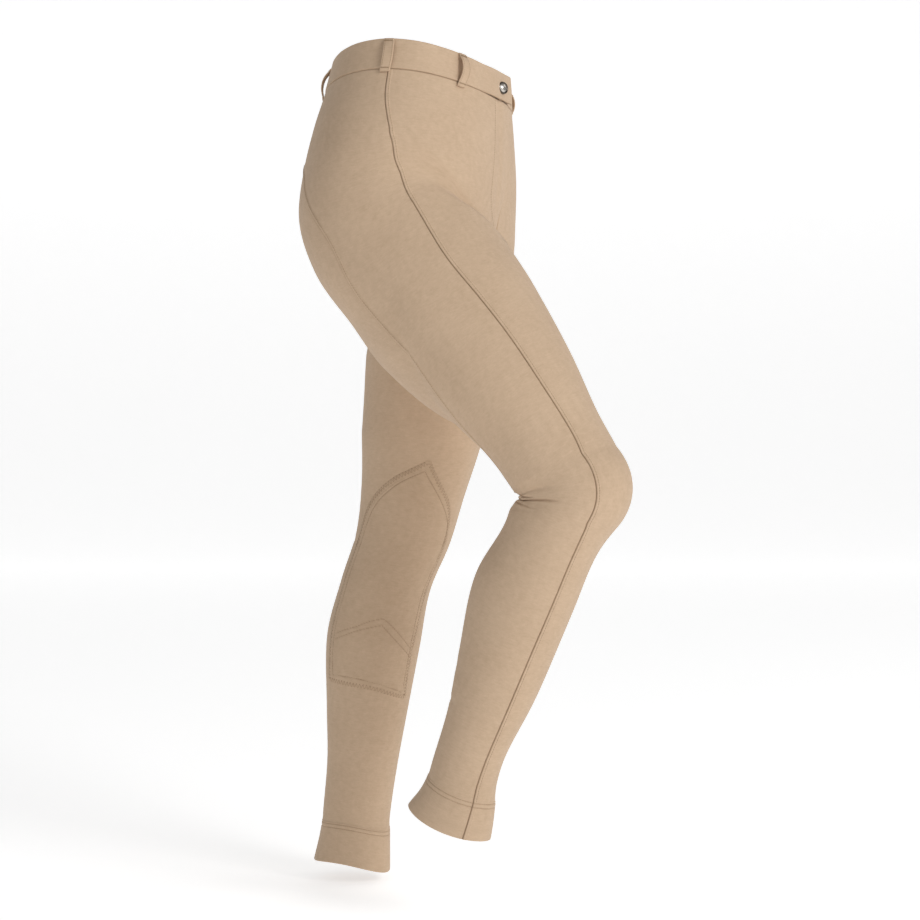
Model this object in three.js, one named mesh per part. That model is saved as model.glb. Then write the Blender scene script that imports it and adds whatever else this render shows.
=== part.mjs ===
// Riding jodhpurs in stretch cotton, standing as they do when worn with one knee raised, and hollow.
// Units are millimetres. +Z is up, the wearer's front faces -Y and the wearer's left side is +X.
// The origin is the centre of the waist opening, at the level of its upper edge.
import * as THREE from "three";

// ---- Driving dimensions ----
const WALL = 1.5; // one layer of cloth
const HEM_WALL = 2.7; // the turned-up hem, two layers pressed together
const BAND_WALL = 3; // waistband, two layers and interlining
const SEAM_GAP = 0.3; // between neighbouring pieces
const WAIST_HALF_WIDTH = 146;
const BAND_HEIGHT = 35;
const BAND_PROUD = 0.8; // waistband face outside the panels' face
const HEM_DEPTH = 38;
const HEM_LEVEL = 962; // levels are distances below the waist edge, measured with the legs straight
const CROTCH_LEVEL = 286;
const SEAT_SEAM_LEVEL = 100; // where the back seams leave the centre back
const WAIST_SLOPE = 0.04; // the front of the waist sits lower than its back
const WAIST_ARCH = 14; // the sides of the waist sit higher than its front and back
const WAIST_LEVEL_AT = 0.7; // square of the share of the half width where the arch is at its mean level
const WAIST_FADE = 130; // level at which the slope and the arch have gone

const FLY_END = 186; // level
const FLY_OVERLAP = 7; // the right front passes the centre front by this much
const FLY_WIDTH = 30;
const FLY_RISE = WALL + SEAM_GAP;
const FLY_FADE = 24; // the fly closes over this length at its lower end

const BAND_UNDERLAP = 15; // degrees of the left end that lie under the right end
const BAND_OVERLAP = 3.8; // degrees by which the right end passes the centre front
const BAND_RAMP = 24; // degrees over which the right end rises over the left
const BAND_FLARE = 2.5; // the right end's tip stands off by this much

const PATCH_WALL = 1.2;
const PATCH_TOP_LEVEL = 459;
const PATCH_WIDE_LEVEL = 535; // where the patch has its full width
const PATCH_LOW_LEVEL = 742;
const CALF_LEVEL = 640;
const PATCH_LIFT = 0.8; // clearance between a patch and the panel under it

const LOOP_WIDTH = 11;
const LOOP_WALL = 1.6;
const LOOP_STAND = 6.5; // clearance behind the middle of a loop
const LOOP_TOP = 1; // level
const LOOP_LOW = 39; // level, past the waistband's lower seam

const STUD_RADIUS = 7.5;
const STUD_LEVEL = 17;
const STUD_ANGLE = 348; // round the waist, a little to the wearer's right of the centre front
const STUD_STEPS = 24;
// The stud from its back to its crown: a raised ring round a dome.
const STUD_PROFILE = [
  { radius: 0, height: 0 },
  { radius: STUD_RADIUS - 0.6, height: 0 },
  { radius: STUD_RADIUS, height: 0.7 },
  { radius: STUD_RADIUS, height: 1.7 },
  { radius: STUD_RADIUS - 0.9, height: 2.6 },
  { radius: STUD_RADIUS - 2.2, height: 2.4 },
  { radius: STUD_RADIUS - 2.6, height: 1.9 },
  { radius: 2.8, height: 3 },
  { radius: 0, height: 3.5 },
];

const RIGHT = -1; // sign of x on the wearer's right
const LEFT = 1;

// Sections of one half before posing, with the leg hanging straight. Each is a squared oval round
// (centreX, centreY) with half lengths front, back, outer and inner. web is the width of the cloth
// that bridges the two halves at the middle plane.
const SECTIONS = [
  { level: -20, centreX: 0, centreY: -8, front: 93, back: 101, outer: 144, inner: 144, web: 0, power: 2 },
  { level: 0, centreX: 0, centreY: -8, front: 94, back: 104, outer: 146, inner: 146, web: 0, power: 2 },
  { level: 36, centreX: 0, centreY: -5, front: 99, back: 110, outer: 153, inner: 150, web: 0, power: 2.02 },
  { level: 80, centreX: 10, centreY: 1, front: 105, back: 113, outer: 157, inner: 146, web: 6, power: 2.08 },
  { level: 130, centreX: 28, centreY: 8, front: 111, back: 113, outer: 149, inner: 138, web: 14, power: 2.1 },
  { level: 180, centreX: 48, centreY: 10, front: 108, back: 112, outer: 134, inner: 122, web: 20, power: 2.1 },
  { level: 230, centreX: 66, centreY: 11, front: 104, back: 95, outer: 116, inner: 96, web: 22, power: 2.1 },
  { level: 286, centreX: 86, centreY: 9, front: 97, back: 74, outer: 95, inner: 64, web: 22, power: 2.1 },
  { level: 340, centreX: 91, centreY: 6, front: 93, back: 78, outer: 86, inner: 66, web: 16, power: 2.05 },
  { level: 430, centreX: 91, centreY: 2, front: 80, back: 70, outer: 74, inner: 66, web: 8, power: 2 },
  { level: 500, centreX: 88, centreY: 1, front: 66, back: 62, outer: 62, inner: 60, web: 0, power: 2 },
  { level: 560, centreX: 84, centreY: 5, front: 60, back: 57, outer: 54, inner: 52, web: 0, power: 2 },
  { level: 620, centreX: 81, centreY: 15, front: 53, back: 58, outer: 52, inner: 50, web: 0, power: 2 },
  { level: 690, centreX: 78, centreY: 20, front: 54, back: 62, outer: 52, inner: 50, web: 0, power: 2 },
  { level: 780, centreX: 73, centreY: 18, front: 47, back: 52, outer: 45, inner: 43, web: 0, power: 2 },
  { level: 840, centreX: 70, centreY: 16, front: 42, back: 45, outer: 40, inner: 38, web: 0, power: 2 },
  { level: 900, centreX: 68, centreY: 15, front: 40, back: 43, outer: 37, inner: 36, web: 0, power: 2 },
  { level: 924, centreX: 67, centreY: 13, front: 41, back: 44, outer: 37, inner: 36, web: 0, power: 2 },
  { level: 962, centreX: 66, centreY: 12, front: 45, back: 49, outer: 39, inner: 37, web: 0, power: 2 },
  { level: 980, centreX: 66, centreY: 12, front: 46, back: 51, outer: 39, inner: 37, web: 0, power: 2 },
];

// Where the long seams run, as angles round a section: 0 is the front, 90 the outer side, 180 the back.
const SEAMS = [
  { level: 0, side: 88, rear: 182.5 },
  { level: 60, side: 87.1, rear: 182.5 },
  { level: 100, side: 82.1, rear: 182.5 },
  { level: 106, side: 80.7, rear: 170 },
  { level: 120, side: 76.9, rear: 152 },
  { level: 140, side: 72.2, rear: 136 },
  { level: 165, side: 68.1, rear: 125 },
  { level: 200, side: 65.3, rear: 114.5 },
  { level: 230, side: 63.5, rear: 114.5 },
  { level: 286, side: 60.5, rear: 125 },
  { level: 360, side: 56.5, rear: 136 },
  { level: 440, side: 53.5, rear: 151 },
  { level: 520, side: 54.8, rear: 177 },
  { level: 570, side: 53, rear: 187 },
  { level: 640, side: 40, rear: 188 },
  { level: 740, side: 41.5, rear: 188 },
  { level: 860, side: 48, rear: 188 },
  { level: 920, side: 53.5, rear: 188 },
  { level: 962, side: 54, rear: 188 },
];

// The knee patch on the inner side of each leg: its two edges at each level, as angles.
const PATCH_EDGES = [
  { level: 459, near: -60, far: -56 },
  { level: 466, near: -69, far: -53 },
  { level: 484, near: -95, far: -42 },
  { level: 508, near: -119, far: -24 },
  { level: 535, near: -136, far: -13 },
  { level: 580, near: -146, far: -8 },
  { level: 640, near: -149, far: -9 },
  { level: 690, near: -149, far: -15 },
  { level: 742, near: -149, far: -12 },
];
const PATCH_TURN = { [RIGHT]: -10, [LEFT]: 0 }; // the raised knee draws its patch inwards
const PATCH_DIP = 9; // the lower edge drops by this much at its front

// How each leg is held, in degrees: thigh forward, leg outward and knee bent. hemDip is by how much the
// hem hangs lower at its front and back than at its sides.
const POSES = {
  [RIGHT]: { thigh: 35.5, outward: 4, knee: 55.5, hemDip: -4 },
  [LEFT]: { thigh: -7, outward: 0, knee: 0, hemDip: 8 },
};
const HEM_DIP_LEVEL = 850; // level at which the hem's dip starts
const HEM_MIDDLE = 13; // y of the hem's centre
const HEM_HALF_DEPTH = 46;
const HIP = { x: 88, y: 0, z: -190 };
const HIP_ZONE_FRONT = 82; // length over which the cloth turns at the front of the hip
const HIP_ZONE_BACK = 230;
const HIP_SLANT = 1.1; // the turning starts higher towards the outer side
const KNEE = { y: 2, z: -565 };
const KNEE_ZONE_FRONT = 34; // length over which the cloth turns at the front of the knee
const KNEE_ZONE_BACK = 88;
const LEG_FRONT = -70; // depths between which a turning zone widens
const LEG_BACK = 70;

// Large folds, as troughs pressed in along a line round the leg.
const FOLDS = [
  { side: RIGHT, level: 345, angle: 190, spread: 60, width: 45, depth: 6 },
  { side: RIGHT, level: 480, angle: 180, spread: 70, width: 45, depth: 5 },
  { side: RIGHT, level: 560, angle: 0, spread: 60, width: 40, depth: -2.5 },
  { side: RIGHT, level: 565, angle: 168, spread: 50, width: 10, depth: -2.5 },
  { side: RIGHT, level: 632, angle: 175, spread: 60, width: 40, depth: 5 },
  { side: RIGHT, level: 875, angle: 0, spread: 80, width: 55, depth: 8 },
  { side: RIGHT, level: 968, angle: 180, spread: 70, width: 22, depth: -6 },
];

// Levels of the rows of points: each band is split into equal steps.
const ROW_BANDS = [
  { from: BAND_HEIGHT + SEAM_GAP, to: SEAT_SEAM_LEVEL - SEAM_GAP, steps: 3 },
  { from: SEAT_SEAM_LEVEL, to: CROTCH_LEVEL, steps: 11 },
  { from: CROTCH_LEVEL, to: PATCH_TOP_LEVEL, steps: 6 },
  { from: PATCH_TOP_LEVEL, to: PATCH_WIDE_LEVEL, steps: 6 },
  { from: PATCH_WIDE_LEVEL, to: CALF_LEVEL, steps: 8 },
  { from: CALF_LEVEL, to: PATCH_LOW_LEVEL, steps: 4 },
  { from: PATCH_LOW_LEVEL, to: HEM_LEVEL - HEM_DEPTH, steps: 5 },
  { from: HEM_LEVEL - HEM_DEPTH, to: HEM_LEVEL, steps: 2 },
];
// The stretches into which the panels are cut along the leg, so that each solid has a simple form.
const FRONT_STRETCHES = [
  { name: "hip", from: 0, to: CROTCH_LEVEL },
  { name: "thigh", from: CROTCH_LEVEL, to: PATCH_TOP_LEVEL },
  { name: "knee", from: PATCH_TOP_LEVEL, to: CALF_LEVEL },
  { name: "calf", from: CALF_LEVEL, to: PATCH_LOW_LEVEL },
  { name: "shin", from: PATCH_LOW_LEVEL, to: HEM_LEVEL },
];
const BACK_STRETCHES = [
  { name: "hip", from: 0, to: CROTCH_LEVEL },
  { name: "thigh", from: CROTCH_LEVEL, to: PATCH_TOP_LEVEL },
  { name: "knee", from: PATCH_TOP_LEVEL, to: CALF_LEVEL },
  { name: "shin", from: CALF_LEVEL, to: HEM_LEVEL },
];
const CUT_REACH = 8; // levels on either side of a cut that give the direction along the leg
const FRONT_STEPS = 9; // across a front, from the side seam to the middle
const INNER_STEPS = 6; // from the middle to the back seam
const BACK_STEPS = 8;
const PATCH_STEPS = 12;
const BAND_STEPS = 60; // round the waistband
const LOOP_STEPS = 12; // down a belt loop
const MIDDLE_CROWDING = 1.5; // columns stand closer towards the middle plane

// Belt loops, by their angle round the waist, positive towards the wearer's left.
const LOOPS = [
  { name: "belt_loop_front_right", angle: -54.3 },
  { name: "belt_loop_side_right", angle: -89 },
  { name: "belt_loop_back_right", angle: -152 },
  { name: "belt_loop_back_left", angle: 152 },
  { name: "belt_loop_side_left", angle: 89 },
  { name: "belt_loop_front_left", angle: 53 },
];

const CLOTH = { color: 0xb99c7c, roughness: 0.95, metalness: 0 };
const STUD_METAL = { color: 0x6e675f, roughness: 0.35, metalness: 1 };

// ---- Small helpers ----
const rad = THREE.MathUtils.degToRad;
const { clamp, lerp } = THREE.MathUtils;

function smooth(t) {
  const s = clamp(t, 0, 1);
  return s * s * (3 - 2 * s);
}

// A straight ramp from 0 to 1 with softened ends.
function ramp(t) {
  return lerp(clamp(t, 0, 1), smooth(t), 0.3);
}

function spaced(from, to, steps) {
  return Array.from({ length: steps + 1 }, (_, i) => lerp(from, to, i / steps));
}

// The value of a table's column at a level, on a smooth curve through its rows.
function columnAt(table, column, level) {
  const last = table.length - 1;
  const at = clamp(level, table[0].level, table[last].level);
  let i = 0;
  while (i < last - 1 && at > table[i + 1].level) i += 1;
  const row = (n) => table[clamp(n, 0, last)];
  const change = (n, name) => row(n + 1)[name] - row(n - 1)[name];
  const slope = (n) => change(n, column) / change(n, "level");
  const length = row(i + 1).level - row(i).level;
  const t = (at - row(i).level) / length;
  const rise = t * t * (3 - 2 * t);
  const start = t * (1 - t) * (1 - t);
  const end = t * t * (t - 1);
  const bend = length * (slope(i) * start + slope(i + 1) * end);
  return lerp(row(i)[column], row(i + 1)[column], rise) + bend;
}

// ---- The form ----
// How far the folds press a leg in at a place.
function foldDepth(side, level, angle) {
  let depth = 0;
  for (const fold of FOLDS.filter((each) => each.side === side)) {
    const along = (level - fold.level) / fold.width;
    const round = (((angle - fold.angle + 540) % 360) - 180) / fold.spread;
    depth += fold.depth * Math.exp(-along * along - round * round);
  }
  return depth;
}

// A point of a section before posing. out is its distance from the middle plane, and where out is
// less than web there is no cloth.
function sectionPoint(side, level, angle) {
  const at = (column) => columnAt(SECTIONS, column, level);
  const [s, c] = [Math.sin(rad(angle)), Math.cos(rad(angle))];
  const across = s > 0 ? at("outer") : at("inner");
  const along = c > 0 ? at("front") : at("back");
  const power = at("power");
  const oval = (Math.abs(s / across) ** power + Math.abs(c / along) ** power) ** (-1 / power);
  const radius = oval - foldDepth(side, level, angle);
  return { out: at("centreX") + radius * s, y: at("centreY") - radius * c, web: at("web") };
}

// The straight form's point and normal. The bridge of cloth is rounded, so the two halves meet smoothly.
function straightPoint(side, level, angle) {
  const step = 0.5;
  const here = sectionPoint(side, level, angle);
  const [up, down] = [sectionPoint(side, level - step, angle), sectionPoint(side, level + step, angle)];
  const before = sectionPoint(side, level, angle - step);
  const after = sectionPoint(side, level, angle + step);
  const x = Math.sqrt(Math.max(here.out ** 2 - here.web ** 2, (SEAM_GAP / 2) ** 2));
  const outRound = here.out * (after.out - before.out);
  const outDown = here.out * (down.out - up.out) - here.web * (down.web - up.web);
  const yRound = after.y - before.y;
  const yDown = down.y - up.y;
  const normal = new THREE.Vector3(-x * yRound, outRound, outRound * yDown - yRound * outDown);
  normal.multiplyScalar(-1).normalize();
  return { point: new THREE.Vector3(x, here.y, -level), normal };
}

// Turns a point about a line through a pivot: the pair of coordinates (a, b) by an angle in degrees.
function turn(point, a, b, pivot, degrees) {
  const [s, c] = [Math.sin(rad(degrees)), Math.cos(rad(degrees))];
  const [da, db] = [point[a] - pivot[a], point[b] - pivot[b]];
  point[a] = pivot[a] + da * c - db * s;
  point[b] = pivot[b] + da * s + db * c;
}

// Bends the straight form into the way a leg is held, and puts it on its side of the middle plane.
function posed(side, straight) {
  const pose = POSES[side];
  const point = straight.clone();
  const hemShare = smooth((-straight.z - HEM_DIP_LEVEL) / (HEM_LEVEL - HEM_DEPTH - HEM_DIP_LEVEL));
  const lean = (straight.y - HEM_MIDDLE) / HEM_HALF_DEPTH;
  point.z += pose.hemDip * hemShare * (0.5 - lean ** 2);
  const depth = clamp((straight.y - LEG_FRONT) / (LEG_BACK - LEG_FRONT), 0, 1);
  const hipZone = lerp(HIP_ZONE_FRONT, HIP_ZONE_BACK, depth);
  const hipShare = ramp((HIP_SLANT * Math.abs(straight.x) - straight.z - CROTCH_LEVEL) / hipZone);
  const kneeZone = lerp(KNEE_ZONE_FRONT, KNEE_ZONE_BACK, depth);
  const kneeShare = ramp((KNEE.z - straight.z) / kneeZone + 0.5);
  turn(point, "y", "z", KNEE, pose.knee * kneeShare);
  turn(point, "x", "z", HIP, pose.outward * hipShare);
  turn(point, "y", "z", HIP, -pose.thigh * hipShare);
  const arch = WAIST_ARCH * ((straight.x / WAIST_HALF_WIDTH) ** 2 - WAIST_LEVEL_AT);
  point.z += (WAIST_SLOPE * straight.y + arch) * (1 - smooth(-straight.z / WAIST_FADE));
  point.x *= side;
  return point;
}

// A point of the cloth's face, moved out along its normal.
function clothPoint(side, level, angle, out = 0) {
  const { point, normal } = straightPoint(side, level, angle);
  const first = new THREE.Vector3(0, 0, 1).cross(normal).normalize();
  const second = normal.clone().cross(first);
  const edge = (way) => posed(side, point.clone().add(way)).sub(posed(side, point.clone().sub(way)));
  const facing = edge(first).cross(edge(second)).normalize().multiplyScalar(side);
  return posed(side, point).addScaledVector(facing, out);
}

// The angle at which a section comes a given distance from the middle plane, on its front or back.
function angleAtDistance(side, level, distance, from) {
  let [beyond, inside] = [-90, from];
  for (let i = 0; i < 30; i += 1) {
    const middle = (beyond + inside) / 2;
    const { out, web } = sectionPoint(side, level, middle);
    if (out > 0 && out ** 2 - web ** 2 > distance ** 2) inside = middle;
    else beyond = middle;
  }
  return inside;
}
const middleFront = (side, level) => angleAtDistance(side, level, SEAM_GAP / 2, 45);
const middleBack = (side, level) => angleAtDistance(side, level, SEAM_GAP / 2, -225);

// A seam's angle, moved round by half the seam gap: towards smaller angles for a negative way.
function seamEdge(side, level, angle, way) {
  const speed = clothPoint(side, level, angle + 0.5).distanceTo(clothPoint(side, level, angle - 0.5));
  return angle + (way * SEAM_GAP) / 2 / speed;
}
const sideSeam = (level) => columnAt(SEAMS, "side", level);
const rearSeam = (level) => columnAt(SEAMS, "rear", level);

// ---- Solids ----
const wallAt = (level) => lerp(WALL, HEM_WALL, smooth((level - HEM_LEVEL + HEM_DEPTH) / 3 + 1));

// One place of a piece: a point on its outer face and the point behind it on its inner face.
function place(side, level, angle, out, wall) {
  return { outer: clothPoint(side, level, angle, out), inner: clothPoint(side, level, angle, out - wall) };
}

// A closed wall from a grid of places, each number standing for one place. Open edges get a rim.
function wallGeometry(grid) {
  const across = grid[0].length;
  const places = grid.flat();
  const faces = [];
  for (let i = 0; i < grid.length - 1; i += 1) {
    for (let j = 0; j < across - 1; j += 1) {
      const a = i * across + j;
      const [b, c, d] = [a + across, a + across + 1, a + 1];
      const length = (from, to) => places[from].outer.distanceTo(places[to].outer);
      const falling = length(a, c) < length(b, d);
      faces.push(...(falling ? [[a, b, c], [a, c, d]] : [[a, b, d], [b, c, d]]));
    }
  }
  return closedGeometry(places, faces);
}

// The solid between the outer faces, the same faces on the inside, and a rim along every open edge. A
// rim's diagonals leave the outer face at the lower number, so that the rims of neighbours match.
function closedGeometry(places, faces) {
  const count = places.length;
  const edges = new Set(faces.flatMap(([a, b, c]) => [`${a},${b}`, `${b},${c}`, `${c},${a}`]));
  const index = [];
  for (const [a, b, c] of faces) index.push(a, b, c, a + count, c + count, b + count);
  for (const edge of edges) {
    const [a, b] = edge.split(",").map(Number);
    if (edges.has(`${b},${a}`)) continue;
    const [c, d] = [a + count, b + count];
    index.push(...(a < b ? [b, a, d, a, c, d] : [b, a, c, b, c, d]));
  }
  const points = [...places.map((spot) => spot.outer), ...places.map((spot) => spot.inner)];
  const geometry = new THREE.BufferGeometry().setFromPoints(points);
  geometry.setIndex(index);
  return geometry;
}

// Turns a grid's rows over, so that its faces point out on either side of the body.
const facing = (side, grid) => (side === RIGHT ? grid : grid.map((row) => [...row].reverse()));

// The levels of the rows between two of the bands' ends, each once.
function levelsBetween(from, to) {
  const bands = ROW_BANDS.filter((band) => band.from >= from && band.to <= to);
  return [...new Set(bands.flatMap((band) => spaced(band.from, band.to, band.steps)))];
}

// ---- Panels ----
// How far the right front passes the centre front at a level, and how far it is raised at a distance.
const flyReach = (level) => lerp(FLY_OVERLAP, -SEAM_GAP / 2, smooth((level - FLY_END) / FLY_FADE + 2));
function flyRise(level, distance) {
  const down = 1 - smooth((level - FLY_END) / FLY_FADE + 1);
  return FLY_RISE * down * smooth((FLY_WIDTH - distance) / (FLY_WIDTH / 2));
}

// The front's row of places from the side seam to the middle plane.
function frontRow(side, level) {
  const middle = middleFront(side, level);
  const edge = seamEdge(side, level, sideSeam(level), -1);
  const closed = side === LEFT || level > FLY_END;
  return spaced(1, 0, FRONT_STEPS).map((t) => {
    const angle = lerp(middle, edge, t ** MIDDLE_CROWDING);
    if (closed) return place(side, level, angle, 0, wallAt(level));
    const reach = flyReach(level);
    if (t > 0 || reach <= 0) {
      const distance = Math.abs(clothPoint(side, level, angle).x);
      return place(side, level, angle, flyRise(level, distance), WALL);
    }
    const across = angleAtDistance(LEFT, level, reach, 45);
    return place(LEFT, level, across, flyRise(level, 0), WALL);
  });
}

// The same panel's row from the middle plane, under the seat, to the back seam.
function innerRow(side, level) {
  const middle = middleBack(side, level);
  const edge = seamEdge(side, level, rearSeam(level), 1) - 360;
  return spaced(0, 1, INNER_STEPS).map((t) =>
    place(side, level, lerp(middle, edge, t ** MIDDLE_CROWDING), 0, wallAt(level))
  );
}

// The back panel's row from the back seam, or above it the middle, to the side seam.
function backRow(side, level) {
  const from = seamEdge(side, level, sideSeam(level), 1);
  const toMiddle = level < SEAT_SEAM_LEVEL;
  const to = toMiddle ? middleBack(side, level) + 360 : seamEdge(side, level, rearSeam(level), -1);
  return spaced(to, from, BACK_STEPS).map((angle) => place(side, level, angle, 0, wallAt(level)));
}

// A row where two stretches meet, moved along the leg by half the seam gap: up for a negative way.
function cutRow(side, level, rowAt, way) {
  const [above, below] = [level - CUT_REACH, level + CUT_REACH].map((each) => rowAt(side, each));
  return rowAt(side, level).map(({ outer, inner }, j) => {
    const move = below[j].outer.clone().sub(above[j].outer).setLength((way * SEAM_GAP) / 2);
    return { outer: outer.clone().add(move), inner: inner.clone().add(move) };
  });
}

// The wall of a stretch of a panel, short of the stretches above and below it.
function stretchWall(side, from, to, rowAt) {
  const rows = levelsBetween(from, to).map((level) => rowAt(side, level));
  if (from >= CROTCH_LEVEL) rows[0] = cutRow(side, from, rowAt, 1);
  if (to < HEM_LEVEL) rows[rows.length - 1] = cutRow(side, to, rowAt, -1);
  return wallGeometry(facing(side, rows));
}

// Below the crotch the front and the inner leg are one row.
function frontInnerRow(side, level) {
  return [...frontRow(side, level), ...innerRow(side, level).slice(1)];
}

// ---- Waistband, patches, loops and stud ----
// Round the waist, angle 0 is the centre front and angles grow towards the wearer's left.
function waistPlace(turned, level, out, wall) {
  const angle = ((turned % 360) + 360) % 360;
  return angle < 180 ? place(LEFT, level, angle, out, wall) : place(RIGHT, level, 360 - angle, out, wall);
}

// How far the waistband's face stands out: its right end rises over the left and flares at its tip.
function bandFace(turned) {
  const start = 360 - BAND_UNDERLAP - BAND_RAMP;
  const lap = (BAND_WALL + SEAM_GAP) * smooth((turned - start) / (BAND_RAMP - 2));
  const towardsTip = smooth((turned - 360 + BAND_UNDERLAP) / (BAND_UNDERLAP + BAND_OVERLAP));
  return BAND_PROUD + lap + BAND_FLARE * towardsTip;
}

function waistband() {
  const turns = spaced(-BAND_UNDERLAP, 360 + BAND_OVERLAP, BAND_STEPS);
  const grid = spaced(0, BAND_HEIGHT, 2).map((level) =>
    turns.map((turned) => waistPlace(turned, level, bandFace(turned), BAND_WALL))
  );
  return wallGeometry(grid);
}

function patchPlace(side, level, across) {
  const edges = ["far", "near"].map((column) => columnAt(PATCH_EDGES, column, level));
  const angle = lerp(edges[0], edges[1], across) + PATCH_TURN[side];
  const down = (level - PATCH_WIDE_LEVEL) / (PATCH_LOW_LEVEL - PATCH_WIDE_LEVEL);
  const dip = PATCH_DIP * smooth(1 - across * 2) * smooth(down);
  return place(side, level + dip, angle, PATCH_LIFT + PATCH_WALL, PATCH_WALL);
}

function kneePatch(side) {
  const levels = levelsBetween(PATCH_TOP_LEVEL, PATCH_LOW_LEVEL);
  const grid = levels.map((level) =>
    spaced(0, 1, PATCH_STEPS).map((across) => patchPlace(side, level, across))
  );
  return wallGeometry(facing(side, grid));
}

// A loop is sewn down at its two ends and bows away from the band between them.
function beltLoop(angle) {
  const turned = (angle + 360) % 360;
  const radius = waistPlace(turned, 0, 0, 0).outer.setZ(0).length();
  const half = THREE.MathUtils.radToDeg(LOOP_WIDTH / radius) / 2;
  const grid = spaced(LOOP_TOP, LOOP_LOW, LOOP_STEPS).map((level) => {
    const bow = Math.sin((Math.PI * (level - LOOP_TOP)) / (LOOP_LOW - LOOP_TOP));
    const out = bandFace(turned) + SEAM_GAP + LOOP_WALL + LOOP_STAND * bow;
    return spaced(turned - half, turned + half, 2).map((at) => waistPlace(at, level, out, LOOP_WALL));
  });
  return wallGeometry(grid);
}

function studButton() {
  const profile = STUD_PROFILE.map(({ radius, height }) => new THREE.Vector2(radius, height));
  return new THREE.LatheGeometry(profile, STUD_STEPS);
}

// ---- Assembly ----
const group = new THREE.Group();

function add(name, geometry, look) {
  const mesh = new THREE.Mesh(geometry, new THREE.MeshStandardMaterial(look));
  mesh.name = name;
  group.add(mesh);
  return mesh;
}

add("waistband", waistband(), CLOTH);
for (const [sideName, side] of [["right", RIGHT], ["left", LEFT]]) {
  for (const { name, from, to } of FRONT_STRETCHES) {
    const rowAt = from < CROTCH_LEVEL ? frontRow : frontInnerRow;
    add(`front_inner_${sideName}_${name}`, stretchWall(side, from, to, rowAt), CLOTH);
  }
  add(`front_inner_${sideName}_seat`, stretchWall(side, SEAT_SEAM_LEVEL, CROTCH_LEVEL, innerRow), CLOTH);
  for (const { name, from, to } of BACK_STRETCHES) {
    add(`back_outer_${sideName}_${name}`, stretchWall(side, from, to, backRow), CLOTH);
  }
  add(`knee_patch_${sideName}`, kneePatch(side), CLOTH);
}
for (const { name, angle } of LOOPS) add(name, beltLoop(angle), CLOTH);

const stud = add("stud_button", studButton(), STUD_METAL);
const studSeat = waistPlace(STUD_ANGLE, STUD_LEVEL, bandFace(STUD_ANGLE) + SEAM_GAP * 2, 1);
stud.position.copy(studSeat.outer);
stud.quaternion.setFromUnitVectors(new THREE.Vector3(0, 1, 0), studSeat.outer.clone().sub(studSeat.inner));

export default group;
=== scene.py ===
# Riding jodhpurs in brushed stretch cotton: the looks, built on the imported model's frame.
# Sizes are in millimetres until a mesh is made. The cloth's form comes from the same named values as
# the solids: levels are distances below the waist edge with the legs straight, and angles go round a
# leg from its front (0) over its outer side (90) to its back (180), or the other way to its inner side.
import math

import bpy
import numpy as np
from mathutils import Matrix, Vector
from mathutils.kdtree import KDTree


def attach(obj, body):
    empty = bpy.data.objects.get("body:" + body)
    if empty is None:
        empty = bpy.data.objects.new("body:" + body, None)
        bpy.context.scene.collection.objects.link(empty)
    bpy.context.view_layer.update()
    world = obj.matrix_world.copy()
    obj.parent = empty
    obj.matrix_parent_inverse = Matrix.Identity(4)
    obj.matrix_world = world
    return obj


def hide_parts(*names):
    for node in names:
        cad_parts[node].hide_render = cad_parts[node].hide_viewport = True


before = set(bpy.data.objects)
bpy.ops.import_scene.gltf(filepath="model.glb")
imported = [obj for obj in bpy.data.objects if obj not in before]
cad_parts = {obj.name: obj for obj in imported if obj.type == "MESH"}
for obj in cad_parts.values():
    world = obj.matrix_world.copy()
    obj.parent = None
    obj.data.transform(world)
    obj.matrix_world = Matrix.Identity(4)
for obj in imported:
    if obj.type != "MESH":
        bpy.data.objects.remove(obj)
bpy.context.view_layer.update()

MM = 0.001
RIGHT, LEFT = -1, 1
SIDES = {"right": RIGHT, "left": LEFT}


def table(columns, rows):
    """A short table: each column by its name, as an array."""
    return dict(zip(columns.split(), np.array(rows, float).T))


def each_row(columns):
    """The rows of a table, each as a tuple of its values."""
    return zip(*columns.values())


# ---- The garment's form, as in the solids ----
GAP = 0.1  # between neighbouring pieces at a seam
WALL = 1.4
BAND_HEIGHT = 35
CROTCH_LEVEL = 286
SEAT_SEAM_LEVEL = 100
HEM_LEVEL = 962
WAIST_HALF_WIDTH = 146
WAIST_SLOPE, WAIST_ARCH, WAIST_LEVEL_AT, WAIST_FADE = 0.04, 14, 0.7, 130

SECTIONS = table(
    "level centre_x centre_y front back outer inner web power",
    [
        (-20, 0, -8, 93, 101, 144, 144, 0, 2),
        (0, 0, -8, 94, 104, 146, 146, 0, 2),
        (36, 0, -5, 99, 110, 153, 150, 0, 2.02),
        (80, 10, 1, 105, 113, 157, 146, 6, 2.08),
        (130, 28, 8, 111, 113, 149, 138, 14, 2.1),
        (180, 48, 10, 108, 112, 134, 122, 20, 2.1),
        (230, 66, 11, 104, 95, 116, 96, 22, 2.1),
        (286, 86, 9, 97, 74, 95, 64, 22, 2.1),
        (340, 91, 6, 93, 78, 86, 66, 16, 2.05),
        (430, 91, 2, 80, 70, 74, 66, 8, 2),
        (500, 88, 1, 66, 62, 62, 60, 0, 2),
        (560, 84, 5, 60, 57, 54, 52, 0, 2),
        (620, 81, 15, 53, 58, 52, 50, 0, 2),
        (690, 78, 20, 54, 62, 52, 50, 0, 2),
        (780, 73, 18, 47, 52, 45, 43, 0, 2),
        (840, 70, 16, 42, 45, 40, 38, 0, 2),
        (900, 68, 15, 40, 43, 37, 36, 0, 2),
        (924, 67, 13, 41, 44, 37, 36, 0, 2),
        (962, 66, 12, 45, 49, 39, 37, 0, 2),
        (980, 66, 12, 46, 51, 39, 37, 0, 2),
    ],
)
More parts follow.
